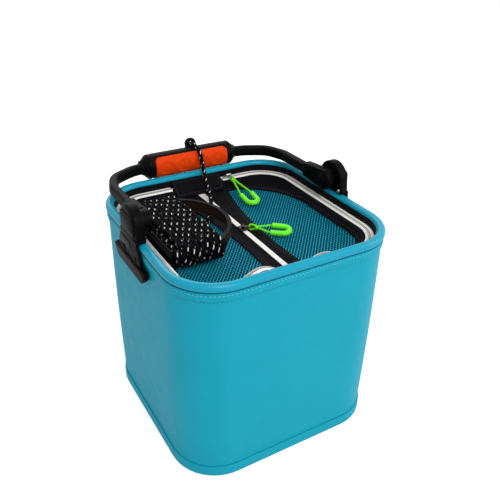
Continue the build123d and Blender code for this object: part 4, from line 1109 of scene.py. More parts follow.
# Rope
ROPE_ROUTE = [
    (-0.048025, -0.038, 0.21505),
    (-0.048025, -0.0255, 0.21505),
    (-0.0454, -0.0085, 0.21505),
    (-0.0372, 0.0095, 0.2151),
    (-0.025, 0.0275, 0.2156),
    (-0.0122, 0.0445, 0.218),
    (-0.0038, 0.0615, 0.221),
    (0.0025, 0.0785, 0.2235),
    (0.0064, 0.0925, 0.2261),
    (0.0086, 0.1009, 0.2302),
    (0.0096, 0.1064, 0.2368),
    (0.0096, 0.1091, 0.2457),
    (0.009, 0.1114, 0.2542),
    (0.0081, 0.1157, 0.2596),
    (0.0069, 0.1218, 0.2627),
    (0.006, 0.1289, 0.263),
    (0.006, 0.13544, 0.2605),
]
WINDER_Z = 0.22495
TURN_PITCH = 0.00495
LAYER = 0.00495
TOP_LIFT = 0.0011
ROPE_CUT_Z = 0.2445
ROPE_FIRST_X = -0.0505
ROPE_FRONT_Y = -0.0400
ROPE_BACK_Y = 0.0575
TURNS = 9


def spline_points(name, points):
    """Points along a NURBS spline of order three with the given control points."""
    curve = bpy.data.curves.new(name, "CURVE")
    curve.dimensions = "3D"
    spline = curve.splines.new("NURBS")
    spline.points.add(len(points) - 1)
    spline.points.foreach_set("co", lifted(points, 1.0).astype(np.float32).ravel())
    spline.order_u = 3
    spline.use_endpoint_u = True
    spline.resolution_u = 8
    holder = bpy.data.objects.new(name, curve)
    bpy.context.scene.collection.objects.link(holder)
    mesh = bpy.data.meshes.new_from_object(holder.evaluated_get(bpy.context.evaluated_depsgraph_get()))
    places = fetched(mesh.vertices, "co").astype(float)
    bpy.data.objects.remove(holder)
    bpy.data.meshes.remove(mesh)
    return places


def half_turn(x, y, start_z, end_z, outward):
    """Control points of a half circle round an end of the core, on a circle a little wider than the
    rope's own."""
    middle, reach = (start_z + end_z) / 2, (start_z - end_z) / 2
    angle = np.radians([72, 36, 0, -36, -72])
    wide = 1 / 0.951
    bulge = outward * abs(reach) * wide * np.cos(angle)
    return [(x, y + b, middle + reach * wide * math.sin(a)) for a, b in zip(angle, bulge)]


def run(x, drift, start_y, end_y, z, lift, number):
    """Control points of a run along Y that moves sideways by the drift, and lies a little unevenly."""
    share = np.array([0.06, 0.34, 0.66, 0.94])
    ease = np.array([0.0, 0.22, 0.78, 1.0])
    uneven = 0.00045 * np.sin(2.4 * number + np.array([0.0, 1.3, 2.9, 4.1])) * (lift > 0)
    rise = lift * (0.55 + 0.45 * np.sin(1.7 * number + np.array([0.4, 1.1, 2.0, 2.6])))
    middle = np.array([0.35, 1.0, 1.0, 0.35])
    return [
        (x + drift * e + u * m, start_y + (end_y - start_y) * s, z + r * m)
        for s, e, u, r, m in zip(share, ease, uneven, rise, middle)
    ]


def winding_route():
    """Control points of the wound rope: two layers of turns on the core, then out to where the free run
    starts."""
    drift = TURN_PITCH / 2
    top, low = WINDER_Z + LAYER, WINDER_Z - LAYER
    over, below = WINDER_Z + 2 * LAYER, WINDER_Z - 2 * LAYER
    x = ROPE_FIRST_X
    points = [(x, ROPE_BACK_Y, top)]
    for number in range(TURNS):
        points += run(x, -drift, ROPE_BACK_Y, ROPE_FRONT_Y, top, 0, number)
        x -= drift
        if number < TURNS - 1:
            points += half_turn(x, ROPE_FRONT_Y, top, low, -1)
            points += run(x, -drift, ROPE_FRONT_Y, ROPE_BACK_Y, low, 0, number)
            x -= drift
            points += half_turn(x, ROPE_BACK_Y, low, top, 1)
    points += half_turn(x, ROPE_FRONT_Y, top, below, -1)
    for number in range(TURNS):
        points += run(x, drift, ROPE_FRONT_Y, ROPE_BACK_Y, below, 0, number)
        x += drift
        points += half_turn(x, ROPE_BACK_Y, below, over, 1)
        points += run(x, drift, ROPE_BACK_Y, ROPE_FRONT_Y, over, TOP_LIFT, number)
        x += drift
        points += half_turn(x, ROPE_FRONT_Y, over, below, -1)
    return points + [(x, ROPE_FRONT_Y, below), (x, -0.039, below), (x, -0.038, below)]


def rope_tube(name, path, step=0.0009, count=14):
    """Rope along a path, with its UV map in metres along it and turns round it. Gives the evened path
    too."""
    path = spaced(path, step)
    return swept(name, path, circle(ROPE_DIAMETER / 2, count), finish("rope"), reference=(1, 0, 0)), path


def tied_knot(name, middle, ahead, size, depth, count, radius, material):
    """Small tight knot: a tube along a trefoil that lies across the way ahead. The trefoil's line is
    (sin t + 2 sin 2t, cos t - 2 cos 2t) times its size and - sin 3t times its depth."""
    t = np.linspace(0, 2 * np.pi, count, endpoint=False)
    loops = np.stack([
        size * (np.sin(t) + 2 * np.sin(2 * t)),
        size * (np.cos(t) - 2 * np.cos(2 * t)),
        -depth * np.sin(3 * t),
    ], 1)
    ahead = unit(np.asarray(ahead, float))
    helper = np.array([1.0, 0, 0]) if abs(ahead[0]) < 0.9 else np.array([0, 0, 1.0])
    second = unit(np.cross(ahead, helper))
    line = np.asarray(middle, float) + loops @ np.stack([np.cross(second, ahead), second, ahead])
    return swept(name, line, circle(radius, 10), finish(material), reference=tuple(ahead), closed=True)


class BUCKET_OT_rope(Operator):
    """Draw rope: the length wound on the winder, its free run to the grip and the knot behind the eyelet"""

    bl_idname = "bucket.rope"
    bl_label = "Rope"

    def execute(self, context):
        wound, path = rope_tube("rope_wound", spline_points("winding", winding_route()), 0.0011, 12)
        rest_on(wound, "lid", "rope_black", "rope_winding")
        line = spline_points("free_run", ROPE_ROUTE)
        cut = int(np.argmin(np.abs(line[:, 2] - ROPE_CUT_Z)))
        low, low_path = rope_tube("rope_run_lid", line[: cut + 1])
        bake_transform(low)
        high, high_path = rope_tube("rope_run_grip", line[cut:])
        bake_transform(high)
        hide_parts("rope_free_run")
        ahead = unit(high_path[-1] - high_path[-4])
        middle = high_path[-1] + ahead * 0.0021
        knot = tied_knot("rope_knot_tied", middle, ahead, 0.00105, 0.0011, 90, 0.0015, "rope")
        rest_on(knot, "handle", "rope_black", "rope_knot")
        return {"FINISHED"}


# Mouldings
HANDLE_PLACE = Matrix.Translation((0, 0, PIVOT_Z)) @ Matrix.Rotation(-HANDLE_TILT, 4, "X")
HOUSING_INNER = 0.1118
HOUSING_OUTER = 0.1220
GRIP_RADIUS = 0.0142
INSERT_HALF = 0.0455
INSERT_ANGLE = math.radians(59)
HOLLOW_PITCH = 0.0215
HOLLOW_RADIUS = 0.0084
ARM_X = 0.1062
BOOT_RADIUS = 0.0115


def moved(piece, matrix):
    """Places a finished mesh, and leaves its object at the origin."""
    piece.data.transform(matrix)
    piece.data.update()
    return piece


def sided(side, low, high):
    """Range across X on one side of the bucket."""
    return (low, high) if side > 0 else (-high, -low)


def ring_of(name, centre, radius, section, normal, material, count=40):
    """Closed ring about a centre, from a section in (distance outwards, distance along the normal)
    pairs."""
    normal = unit(np.asarray(normal, float))
    helper = np.array([1.0, 0, 0]) if abs(normal[0]) < 0.9 else np.array([0, 0, 1.0])
    side = unit(np.cross(normal, helper))
    other = np.cross(normal, side)
    angle = np.linspace(0, 2 * np.pi, count, endpoint=False)[:, None]
    outward = np.cos(angle) * side + np.sin(angle) * other
    section = np.asarray(section, float)
    grid = np.asarray(centre, float) + outward[:, None] * (radius + section[None, :, :1])
    return surface(name, grid + normal * section[None, :, 1:], material, wrap_rows=True)


def side_plate(name, outline, side, low, high, rounding, steps=3, material="plastic"):
    """Plate across X on one side of the bucket, between two distances from its middle."""
    return plate(name, outline, *sided(side, low, high), finish(material), rounding=rounding, steps=steps)


def arched(radius, foot):
    """Outline of a half disc about the pivot's height over a foot, which is given as (y, z) points."""
    return np.array(arc_profile((0, PIVOT_Z), radius, 0, 180, 36) + foot)


class BUCKET_OT_brackets(Operator):
    """Two side brackets: domed housing, cap, neck with its panel, bar, pin head and rivets"""

    bl_idname = "bucket.brackets"
    bl_label = "Brackets"

    def execute(self, context):
        housing = arched(0.0195, [(-0.0203, 0.2400), (-0.0208, 0.2349), (0.0208, 0.2349), (0.0203, 0.2400)])
        lip = arched(0.0172, [(-0.0178, 0.2385), (0.0178, 0.2385)])
        neck = [(-0.021, 0.2378), (0.021, 0.2378), (0.021, 0.2320), (0.027, 0.2210)]
        neck += [(0.027, 0.2100), (-0.027, 0.2100), (-0.027, 0.2210), (-0.021, 0.2320)]
        neck = rounded_outline(neck, [0.0015, 0.0015, 0.003, 0.004, 0, 0, 0.004, 0.003])
        bar = [(-0.038, 0.2130), (0.038, 0.2130), (0.038, 0.2070), (0.030, 0.1990), (-0.030, 0.1990)]
        bar = rounded_outline(bar + [(-0.038, 0.2070)], [0.0022] * 2 + [0.0025] * 4)
        rail = rounded_outline([(-0.036, 0.2127), (0.036, 0.2127), (0.036, 0.2098), (-0.036, 0.2098)], 0.0010)
        cap = boxed(-0.0165, PIVOT_Z - 0.0085, 0.0165, PIVOT_Z + 0.0115, 0.005)
        dish = boxed(-0.0135, PIVOT_Z - 0.0055, 0.0135, PIVOT_Z + 0.0085, 0.003)
        head = [(0.0001, 0.0016), (0.0040, 0.0014), (0.0058, 0.0010), (0.0065, 0.0005)]
        head += [(0.0065, 0.0), (0.0001, 0.0)]
        for side, word in SIDES:
            body = [
                side_plate("housing", housing, side, HOUSING_INNER, HOUSING_OUTER, 0.0018, 5),
                side_plate("lip", lip, side, 0.1185, 0.1226, 0.0005),
                side_plate("neck", neck, side, 0.1201, 0.1230, 0.0007),
                side_plate("bar", bar, side, 0.1183, 0.1245, 0.0013, 4),
                side_plate("rail", rail, side, 0.1225, 0.1250, 0.0008),
            ]
            rest_on(merged("bracket_body_" + word, body), "rim", "black_plastic", "bracket_" + word)
            caps = [
                side_plate("cap", cap, side, 0.1222, 0.1236, 0.0007),
                side_plate("dish", dish, side, 0.1232, 0.12395, 0.00035),
            ]
            rest_on(merged("bracket_cap_" + word, caps), "rim", "black_plastic", "hub_cap_" + word)
            panel = boxed(-0.004, 0.2225, 0.020, 0.2305, 0.0012)
            inlay = side_plate("neck_panel_" + word, panel, side, 0.1229, 0.1237, 0.0003, material="panel")
            rest_on(inlay, "rim", "grey_plastic", "bracket_inlay_" + word)
            place = (side * 0.1006, 0, PIVOT_Z)
            button = turned("pin_head", head, place, (-side, 0, 0), finish("plastic"), 30)
            pin = [(0.0040, 0.0), (0.0040, 0.0190)]
            shank = turned("shank", pin, (side * 0.1004, 0, PIVOT_Z), (side, 0, 0), finish("steel"))
            rest_on(merged("pivot_" + word, [button, shank]), "rim", "steel", "pivot_pin_" + word)
        self.rivets()
        return {"FINISHED"}

    def rivets(self):
        """Rivets of the housings and of the plates, each with a domed head."""
        dome = [(0.0001, 0.0011), (0.0009, 0.0010), (0.0018, 0.0006), (0.0022, 0.0001), (0.0022, -0.0004)]
        dome.append((0.0001, -0.0004))
        heads = [
            turned("head", dome, (side * HOUSING_INNER, y, 0.2386), (-side, 0, 0), finish("steel"), 18)
            for side, _ in SIDES for y in (-0.003, -0.0165)
        ]
        rest_on(merged("housing_rivet_heads", heads), "rim", "steel", "housing_rivets")
        flat = [(0.0001, 0.0011), (0.0018, 0.0010), (0.0031, 0.0007), (0.0035, 0.0002), (0.0035, -0.0005)]
        flat.append((0.0001, -0.0005))
        shank = [(0.0018, 0.0), (0.0018, 0.0090)]
        shapes = ((flat, 0.1230, 1, 20), (flat, 0.1147, -1, 20), (shank, 0.1142, 1, 12))
        heads = [
            turned("rivet", profile, (side * x, y, 0.217), (way * side, 0, 0), finish("plastic"), count)
            for side, _ in SIDES for y in (-0.015, 0.015) for profile, x, way, count in shapes
        ]
        rest_on(merged("plate_rivet_heads", heads), "rim", "black_plastic", "plate_rivets")


class BUCKET_OT_handle(Operator):
    """Handle: boots on the pivots, bent arms, grip shell with its eyelet, soft insert and screws"""

    bl_idname = "bucket.handle"
    bl_label = "Handle"

    def execute(self, context):
        plastic = finish("plastic")
        tail = [(0, -BOOT_RADIUS), (0.038, -0.0080), (0.038, 0.0080), (0, BOOT_RADIUS)]
        tail = rounded_outline(tail, [0, 0.0028, 0.0028, 0])[1:-1]
        outline = np.vstack([arc_profile((0, 0), BOOT_RADIUS, 90, 270, 24), tail])
        ridge = rounded_outline([(0.004, 0.0098), (0.034, 0.0072), (0.034, 0.0088), (0.004, 0.0122)], 0.0006)
        route = [(ARM_X, 0.034), (ARM_X, 0.084), (0.097, 0.109), (0.0725, 0.122), (0.0500, 0.1262)]
        flat = rounded_outline(route, [0, 0.030, 0.024, 0.022, 0], 10)
        for side, word in SIDES:
            pieces = [
                side_plate("boot", outline, side, 0.1009, 0.1115, 0.0016, 5),
                side_plate("ridge", ridge, side, 0.1042, 0.1082, 0.0008),
                ring_of("hub", (side * 0.1011, 0, 0), 0.0080, circle(0.0007, 8), (1, 0, 0), plastic),
            ]
            boot = moved(merged("boot_" + word, pieces), HANDLE_PLACE)
            rest_on(boot, "handle", "black_plastic", "arm_boot_" + word)
            path = spaced(lifted(flat * (side, 1), 0.0), 0.0016)
            widen = 1 + 0.04 * np.clip((np.linspace(0, 1, len(path)) - 0.90) / 0.1, 0, 1)
            section = arm_section()[None] * np.stack([widen, widen], 1)[:, None]
            arm = moved(swept("arm_" + word, path, section, plastic), HANDLE_PLACE)
            rest_on(arm, "handle", "black_plastic", "handle_arm_" + word)
        self.grip(plastic)
        return {"FINISHED"}

    def grip(self, plastic):
        """Grip shell: a round bar whose radius falls in a smooth shoulder to the arms at both ends and by
        a step where the insert lies. The insert is a shell over the finger side with four shallow round
        hollows."""
        steps = np.array([-0.0460, -0.0452, 0.0460, 0.0452])
        x = np.unique(np.concatenate([np.linspace(-0.0600, 0.0600, 110), steps]))
        angle = np.linspace(-np.pi, np.pi, 64, endpoint=False)
        shoulder = np.clip((np.abs(x) - 0.0505) / 0.0095, 0, 1)
        radius = GRIP_RADIUS - 0.0062 * shoulder * shoulder * (3 - 2 * shoulder)
        notch = np.exp(-((np.abs(x) - 0.0478) / 0.0011) ** 2) * 0.0006
        pocket = smooth_edge(INSERT_HALF + 0.0004 - np.abs(x), 0.0006)[:, None]
        pocket = pocket * smooth_edge(math.radians(60.5) - np.abs(angle)[None], 0.05)
        reach = radius[:, None] - notch[:, None] - 0.0011 * pocket
        grid = grip_points(x[:, None], angle[None], reach)
        shell = surface("grip_shell_body", grid, plastic, caps=True)
        lug_place = Matrix.Translation((0.006, GRIP_REACH, 0)) @ Matrix.Rotation(math.radians(-20), 4, "X")
        section = boxed(-0.0020, -0.0018, 0.0021, 0.0018, 0.0009)
        lug = moved(ring_of("lug", (0, 0, 0.0174), 0.0049, section, (0, 1, 0), plastic), lug_place)
        foot = [(-0.0078, 0.0125), (0.0078, 0.0125), (0.0062, 0.0160), (-0.0062, 0.0160)]
        foot = plate("foot", rounded_outline(foot, 0.0007), -0.0019, 0.0019, plastic, axis=1, rounding=0.0006)
        foot = moved(foot, lug_place)
        body = moved(merged("grip_body", [shell, lug, foot]), HANDLE_PLACE)
        rest_on(body, "handle", "black_plastic", "grip_shell")

        s, a = np.meshgrid(np.linspace(-1, 1, 150), np.linspace(-1, 1, 60), indexing="ij")
        corner = np.clip((np.abs(s) - 0.86) / 0.14, 0, 1)
        angle = a * INSERT_ANGLE * np.sqrt(1 - 0.62 * corner**2)
        x = s * INSERT_HALF
        edge = np.minimum(1 - np.abs(s), (1 - np.abs(a)) * 0.29) * INSERT_HALF
        crown = np.sqrt(np.clip(1 - (1 - np.clip(edge / 0.0013, 0, 1)) ** 2, 0, 1))
        reach = GRIP_RADIUS - 0.0010 + 0.0013 * crown
        for number in (-1.5, -0.5, 0.5, 1.5):
            off = np.hypot(x - number * HOLLOW_PITCH, GRIP_RADIUS * angle)
            dish = np.clip(1 - (off / HOLLOW_RADIUS) ** 2, 0, 1)
            reach = reach - 0.0011 * dish * (2 - dish)
        top = grip_points(x, angle, reach)
        low = grip_points(x, angle, np.full_like(x, GRIP_RADIUS - 0.0022))
        layers = np.concatenate([top, low[:, ::-1]], 1)
        insert = surface("grip_insert_skin", layers, finish("grip"), caps=True)
        rest_on(moved(insert, HANDLE_PLACE), "handle", "orange_rubber", "grip_insert")
        head = [(0.0001, -0.0003), (0.0008, -0.0003), (0.0010, 0.0005), (0.0026, 0.0004), (0.0028, 0.0)]
        head += [(0.0028, -0.0012), (0.0001, -0.0012)]
        screws = [
            turned("screw", head, (x, GRIP_REACH, -GRIP_RADIUS + 0.0002), (0, 0, -1), finish("steel"), 20)
            for x in (-0.04975, 0.04975)
        ]
        screws = moved(merged("grip_screw_heads", screws), HANDLE_PLACE)
        rest_on(screws, "handle", "steel", "grip_screws")


def arm_section():
    """Section of an arm: a rounded bar with a shallow groove along its outer face, as (side, up) pairs."""
    outline = dense(boxed(-0.00625, -0.0050, 0.00625, 0.0050, 0.0042), 0.0011)
    depth = 0.0006 * np.exp(-((outline[:, 0] - 0.0016) / 0.0011) ** 2)
    return outline - np.column_stack([np.zeros(len(outline)), depth * np.sign(outline[:, 1])])


def smooth_edge(distance, width):
    """None below a distance of none, one above the width, and t squared (3 - 2t) between."""
    t = np.clip(distance / width, 0, 1)
    return t * t * (3 - 2 * t)


def grip_points(x, angle, reach):
    """Points about the grip's axis. The angle is counted from the finger side, upwards."""
    x, angle, reach = np.broadcast_arrays(x, angle, reach)
    return np.stack([x, GRIP_REACH - reach * np.cos(angle), reach * np.sin(angle)], -1)


class BUCKET_OT_winder(Operator):
    """Winder: outer flange, core, rail, curved bow to hold it by, strut and foot"""

    bl_idname = "bucket.winder"
    bl_label = "Winder"

    def execute(self, context):
        plastic = finish("plastic")
        flange = boxed(-0.0430, WINDER_Z - 0.0060, 0.0605, WINDER_Z + 0.0060, 0.004)
        core = boxed(-0.0960, -0.0395, -0.0460, 0.0570, 0.0010)
        rail = boxed(-0.0430, WINDER_Z - 0.004, 0.0605, WINDER_Z + 0.006, 0.0020)
        pieces = [
            plate("flange", flange, -0.0978, -0.0954, plastic, rounding=0.0009),
            plate("core", core, WINDER_Z - 0.0026, WINDER_Z + 0.0026, plastic, axis=2, rounding=0.0010),
            plate("rail", rail, -0.0474, -0.0444, plastic, rounding=0.0009),
        ]
        path = lifted(arc_profile((-0.07534, 0.00875), 0.05834, -59.5, 59.5, 89), WINDER_Z)
        swell = np.cos(np.linspace(-1, 1, 90) * math.pi / 2)[:, None, None]
        section = boxed(-0.0040, -0.0015, 0.0060, 0.0015, 0.0011, 4)[None]
        section = section * (1 + np.concatenate([0.22 * swell, 0 * swell], 2))
        # The bow's brown finish is a painted reflection on the black plastic of the rim above it.
        pieces.append(swept("bow", path, section, finish("bow")))
        high = path + np.array([0, 0, 0.0060]) + np.array([0, 0, 0.0013]) * swell[:, 0]
        pieces.append(swept("bow_rim", high, boxed(-0.0007, -0.0023, 0.0007, 0.0023, 0.0006, 3), plastic))
        strut_z = WINDER_Z + 0.001
        line = np.linspace(0, 1, 14)[:, None]
        for start, end, across, up in (
            ((-0.0455, -0.0365), (-0.0225, -0.0165), 0.0024, 0.0020),
            ((-0.0460, -0.0425), (-0.0405, -0.0400), 0.0030, 0.0022),
        ):
            start, end = np.array([*start, strut_z]), np.array([*end, strut_z])
            section = boxed(-across, -up, across, up, 0.0012, 5)
            pieces.append(swept("strut", start + line * (end - start), section, plastic))
        rest_on(merged("winder_body", pieces), "lid", "black_plastic", "rope_winder")
        return {"FINISHED"}


# Zip sliders and their pulls
PULLS = {
    "rim": {
        "hinge": (0.041, 0.10375, 0.2262), "heading": -90.0, "dip": 9.52, "length": 0.066, "bend": 0.0068,
        "metal": "steel", "middle": (0.041, 0.10515), "half": (0.0055, 0.00325),
        "outline": [(-1, -1), (1, -1), (1, -0.3), (0.7, 0), (1, 0.3), (1, 1), (-1, 1), (-1, 0)],
        "radii": [0.0012, 0.0012, 0.0004, 0.0006, 0.0004, 0.0012, 0.0012, 0.002],
    },
    "center": {
        "hinge": (0.0, -0.004, 0.2171), "heading": -38.0, "dip": 1.0, "length": 0.0515, "bend": 0.0080,
        "metal": "dark_metal", "middle": (0.0, -0.004), "half": (0.0042, 0.0055),
        "outline": [(-1, -1), (1, -1), (0.86, 0), (1, 1), (0.3, 1), (0, 0.7), (-0.3, 1), (-1, 1), (-0.86, 0)],
        "radii": [0.002, 0.002, 0.004, 0.0014, 0.0004, 0.0006, 0.0004, 0.0014, 0.004],
    },
}


def spindle(name, radius, half, chamfer, material, count):
    """Small bar along Y through the origin with broken ends."""
    end = [(0.0001, -half), (radius - 0.0002, -half), (radius, chamfer - half)]
    profile = end + [(r, -y) for r, y in end[::-1]]
    return turned(name, profile, (0, 0, 0), (0, 1, 0), material, count)


class BUCKET_OT_pulls(Operator):
    """Zip sliders and their pulls: tab, knotted cord and moulded grip"""

    bl_idname = "bucket.pulls"
    bl_label = "Sliders and pulls"

    def execute(self, context):
        for name, facts in PULLS.items():
            self.slider(name, facts)
            self.pull(name, facts)
        return {"FINISHED"}

    def slider(self, name, facts):
        """Slider: a waisted plate on the zip with two ears that the tab turns between."""
        steel = finish(facts["metal"])
        x, y, z = facts["hinge"]
        base_z = z - 0.0017
        corners = np.array(facts["outline"]) * facts["half"]
        outline = rounded_outline(corners, facts["radii"], 4) + facts["middle"]
        pieces = [plate("top", outline, base_z - 0.0012, base_z + 0.0001, steel, axis=2, rounding=0.0005)]
        place = Matrix.Translation((x, y, base_z)) @ Matrix.Rotation(math.radians(facts["heading"]), 4, "Z")
        arch = np.radians(np.linspace(0, 180, 15))
        ear = np.stack([0.0017 * np.cos(arch), 0.0017 + 0.0013 * np.sin(arch)], 1)
        ear = np.vstack([ear, [(-0.0017, -0.0003), (0.0017, -0.0003)]])
        for middle in (-0.0028, 0.0028):
            shape = plate("ear", ear, middle - 0.0006, middle + 0.0006, steel, axis=1, rounding=0.0003)
            pieces.append(moved(shape, place))
        if name == "center":
            long = facts["half"][1] * 0.9
            lip = boxed(-long, base_z - 0.0026, long, base_z - 0.0006, 0.0005) + np.array([-0.004, 0.0])
            for side in (-1, 1):
                pieces.append(plate("lip", lip, *sided(side, 0.0033, 0.0042), steel, rounding=0.0003))
        rest_on(merged("zip_slider_" + name, pieces), "slider_" + name + "_body", "steel", "slider_" + name)

    def pull(self, name, facts):
        """Pull: a holed tab, a cord through it with a knot, and a ribbed U-shaped grip on the cord's two
        ends."""
        turn = Matrix.Rotation(math.radians(facts["heading"]), 4, "Z")
        dip = Matrix.Rotation(math.radians(facts["dip"]), 4, "Y")
        place = Matrix.Translation(facts["hinge"]) @ (turn @ dip)
        body = "pull_" + name + "_body"
        length = facts["length"]
        steel = finish(facts["metal"])
        outline = [(0.0, -0.0017), (0.0098, -0.0021), (0.0098, 0.0021), (0.0, 0.0017)]
        outline = rounded_outline(outline, [0.0006, 0.0019, 0.0019, 0.0006])
        pieces = [
            plate("tab", outline, -0.0005, 0.0005, steel, axis=2, rounding=0.00035),
            spindle("knuckle", 0.0014, 0.0021, 0.0003, steel, 16),
            spindle("pin", 0.0008, 0.0034, 0.0002, steel, 12),
            ring_of("eye", (0.0068, 0, 0), 0.0016, circle(0.00062, 8), (0, 0, 1), steel, 20),
        ]
        tab = moved(merged("pull_tab_plate_" + name, pieces), place)
        rest_on(tab, body, "steel", "pull_tab_" + name)

        bend = facts["bend"]
        leg = length - 0.022
        half_way = (leg + 0.0135) / 2 + 0.002
        out = [(leg + 0.004, bend, 0), (leg - 0.002, bend, 0), (half_way, bend * 0.62, 0.0002)]
        points = out + [
            (0.0155, 0.0011, 0.0004), (0.0130, 0.0007, 0.0011), (0.0110, 0.0004, 0.0027),
            (0.0066, 0.0001, 0.0026), (0.0066, -0.0001, -0.0024), (0.0110, -0.0004, -0.0025),
            (0.0130, -0.0007, -0.0009), (0.0155, -0.0011, -0.0002),
        ] + [(x, -y, z) for x, y, z in out[::-1]]
        matrix = np.array(place)
        along, across = tuple(matrix[:3, 0]), tuple(matrix[:3, 1])
        world = np.array(points) @ matrix[:3, :3].T + matrix[:3, 3]
        path = spaced(spline_points("pull_line", world), 0.0006)
        loop = circle(0.00112, 10)
        cord = swept("pull_cord_loop_" + name, path, loop, finish("pull_cord"), reference=across)
        middle = matrix[:3, :3] @ np.array([0.0138, 0, 0]) + matrix[:3, 3]
        size = 0.00062
        knot = tied_knot("pull_knot_" + name, middle, along, size, 1.05 * size, 84, 0.00105, "pull_cord")
        rest_on(cord, body, "lime_cord", "pull_cord_" + name)
        rest_on(knot, body, "lime_cord")
        bend_x = length - bend - 0.0028
        legs = np.linspace(leg, bend_x, 14)
        arc = arc_profile((bend_x, 0), bend, -90, 90, 30)[1:-1]
        flat = np.vstack([[(x, -bend) for x in legs], arc, [(x, bend) for x in legs[::-1]]])
        route = spaced(lifted(flat, 0.0), 0.0005)
        far = travelled(route)
        ends = np.minimum(far, far[-1] - far)
        girth = 0.0028 - 0.0007 * np.clip(1 - ends / 0.0009, 0, 1) ** 2
        girth = girth + 0.00018 * np.sin(2 * np.pi * ends / 0.0022) * (ends > 0.0008)
        section = circle(1.0, 18)[None] * girth[:, None, None]
        grip = moved(swept("pull_grip_" + name + "_body", route, section, finish("pull")), place)
        rest_on(grip, body, "lime_rubber", "pull_grip_" + name)


class BUCKET_OT_finish_cad(Operator):
    """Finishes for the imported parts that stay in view"""

    bl_idname = "bucket.finish_cad"
    bl_label = "Packed parts"

    def execute(self, context):
        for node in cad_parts.values():
            node.data.materials.clear()
            node.data.materials.append(finish("rod"))
        return {"FINISHED"}


# Floor, lamps and camera
LAMPS = (
    ("key_lamp", (-0.15, -1.45, 1.75), 0.9, 21.0),
    ("fill_lamp", (1.6, -0.9, 1.1), 1.2, 11.0),
    ("back_lamp", (0.3, 1.6, 1.5), 1.2, 10.0),
)
FLOOR_GLOW = 0.48
CAMERA_TURN = (-30.908, 30.077, 1.342)
CAMERA_PLACE = (-0.2824, -0.4911, 0.5146)
CAMERA_LENS = 43.995


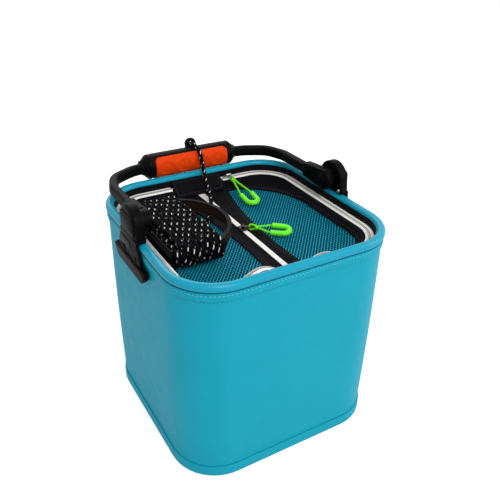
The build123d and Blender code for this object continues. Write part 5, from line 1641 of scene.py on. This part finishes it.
class BUCKET_OT_stage(Operator):
    """Pale floor, soft studio lamps and the camera of the photograph"""

    bl_idname = "bucket.stage"
    bl_label = "Stage"

    def execute(self, context):
        self.floor()
        self.world(context)
        for name, place, size, power in LAMPS:
            self.lamp(name, place, size, power)
        self.camera(context)
        return {"FINISHED"}

    def floor(self):
        """Floor: a wide flat grid with a matt pale finish that the camera sees a little brighter."""
        along = np.linspace(-4, 4, 9)
        x, y = np.meshgrid(along, along, indexing="ij")
        grid = np.stack([x, y, np.full_like(x, -0.0002)], -1)
        made = Finish("studio_floor", (0.86, 0.86, 0.86), 0.9, specular=0.1)
        seen = made.add("LightPath", "Is Camera Ray", {})
        glow = made.times(seen, FLOOR_GLOW)
        made.feed(made.shader, {"Emission Color": (1.0, 1.0, 1.0, 1.0), "Emission Strength": glow})
        surface("studio_floor", grid, made.material, wrap_columns=False)

    def world(self, context):
        """White surroundings for the camera and for reflections, and a softer level for the light they
        give."""
        world = bpy.data.worlds.new("studio")
        context.scene.world = world
        world.use_nodes = True
        tree = world.node_tree
        background = tree.nodes["Background"]
        path = tree.nodes.new("ShaderNodeLightPath")
        seen = path.outputs["Is Camera Ray"]
        for ray in ("Is Glossy Ray", "Is Transmission Ray"):
            either = tree.nodes.new("ShaderNodeMath")
            either.operation = "MAXIMUM"
            tree.links.new(seen, either.inputs[0])
            tree.links.new(path.outputs[ray], either.inputs[1])
            seen = either.outputs[0]
        level = tree.nodes.new("ShaderNodeMapRange")
        level.inputs["To Min"].default_value = 0.55
        tree.links.new(seen, level.inputs["Value"])
        tree.links.new(level.outputs["Result"], background.inputs["Strength"])
        background.inputs["Color"].default_value = (1.0, 1.0, 1.0, 1.0)

    def lamp(self, name, place, size, power):
        """Square lamp turned towards the bucket's mouth."""
        data = bpy.data.lights.new(name, "AREA")
        data.shape = "SQUARE"
        data.size = size
        data.energy = power
        lamp = bpy.data.objects.new(name, data)
        bpy.context.scene.collection.objects.link(lamp)
        lamp.location = place
        aim = Vector((0, 0, 0.18)) - Vector(place)
        lamp.rotation_euler = aim.to_track_quat("-Z", "Y").to_euler()

    def camera(self, context):
        """Camera from its azimuth, elevation and roll: the turned right, the turned up and back are its
        columns."""
        azimuth, elevation, roll = (math.radians(angle) for angle in CAMERA_TURN)
        level = math.cos(elevation)
        back = Vector((math.sin(azimuth) * level, -math.cos(azimuth) * level, math.sin(elevation)))
        right = Vector((math.cos(azimuth), math.sin(azimuth), 0))
        up = back.cross(right)
        turned_right = right * math.cos(roll) + up * math.sin(roll)
        turned_up = up * math.cos(roll) - right * math.sin(roll)
        data = bpy.data.cameras.new("photo_camera")
        data.lens = CAMERA_LENS
        data.sensor_width = 36.0
        camera = bpy.data.objects.new("photo_camera", data)
        context.scene.collection.objects.link(camera)
        columns = Matrix((turned_right, turned_up, back)).transposed().to_4x4()
        camera.matrix_world = Matrix.Translation(CAMERA_PLACE) @ columns
        context.scene.camera = camera
        context.scene.view_settings.view_transform = "Standard"


class BUCKET_PT_panel(Panel):
    """Lists the bucket's operators and settings"""

    bl_label = "Folding bucket"
    bl_idname = "BUCKET_PT_panel"
    bl_space_type = "VIEW_3D"
    bl_region_type = "UI"
    bl_category = "Bucket"

    def draw(self, context):
        for operator in OPERATORS:
            self.layout.operator(operator.bl_idname)
        for settings in (context.scene.bucket_colours, context.scene.bucket_sizes):
            for key in settings.__annotations__:
                self.layout.prop(settings, key)


OPERATORS = [
    BUCKET_OT_stage,
    BUCKET_OT_finish_cad,
    BUCKET_OT_wall,
    BUCKET_OT_rim,
    BUCKET_OT_zips,
    BUCKET_OT_lid,
    BUCKET_OT_rope,
    BUCKET_OT_winder,
    BUCKET_OT_brackets,
    BUCKET_OT_handle,
    BUCKET_OT_pulls,
]
CLASSES = [BucketColours, BucketSizes, *OPERATORS, BUCKET_PT_panel]


def register():
    for kind in CLASSES:
        bpy.utils.register_class(kind)
    bpy.types.Scene.bucket_colours = PointerProperty(type=BucketColours)
    bpy.types.Scene.bucket_sizes = PointerProperty(type=BucketSizes)


def unregister():
    del bpy.types.Scene.bucket_sizes
    del bpy.types.Scene.bucket_colours
    for kind in reversed(CLASSES):
        bpy.utils.unregister_class(kind)


def main():
    """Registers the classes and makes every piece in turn."""
    register()
    for operator in OPERATORS:
        group, name = operator.bl_idname.split(".")
        getattr(getattr(bpy.ops, group), name)()


if __name__ == "__main__":
    main()
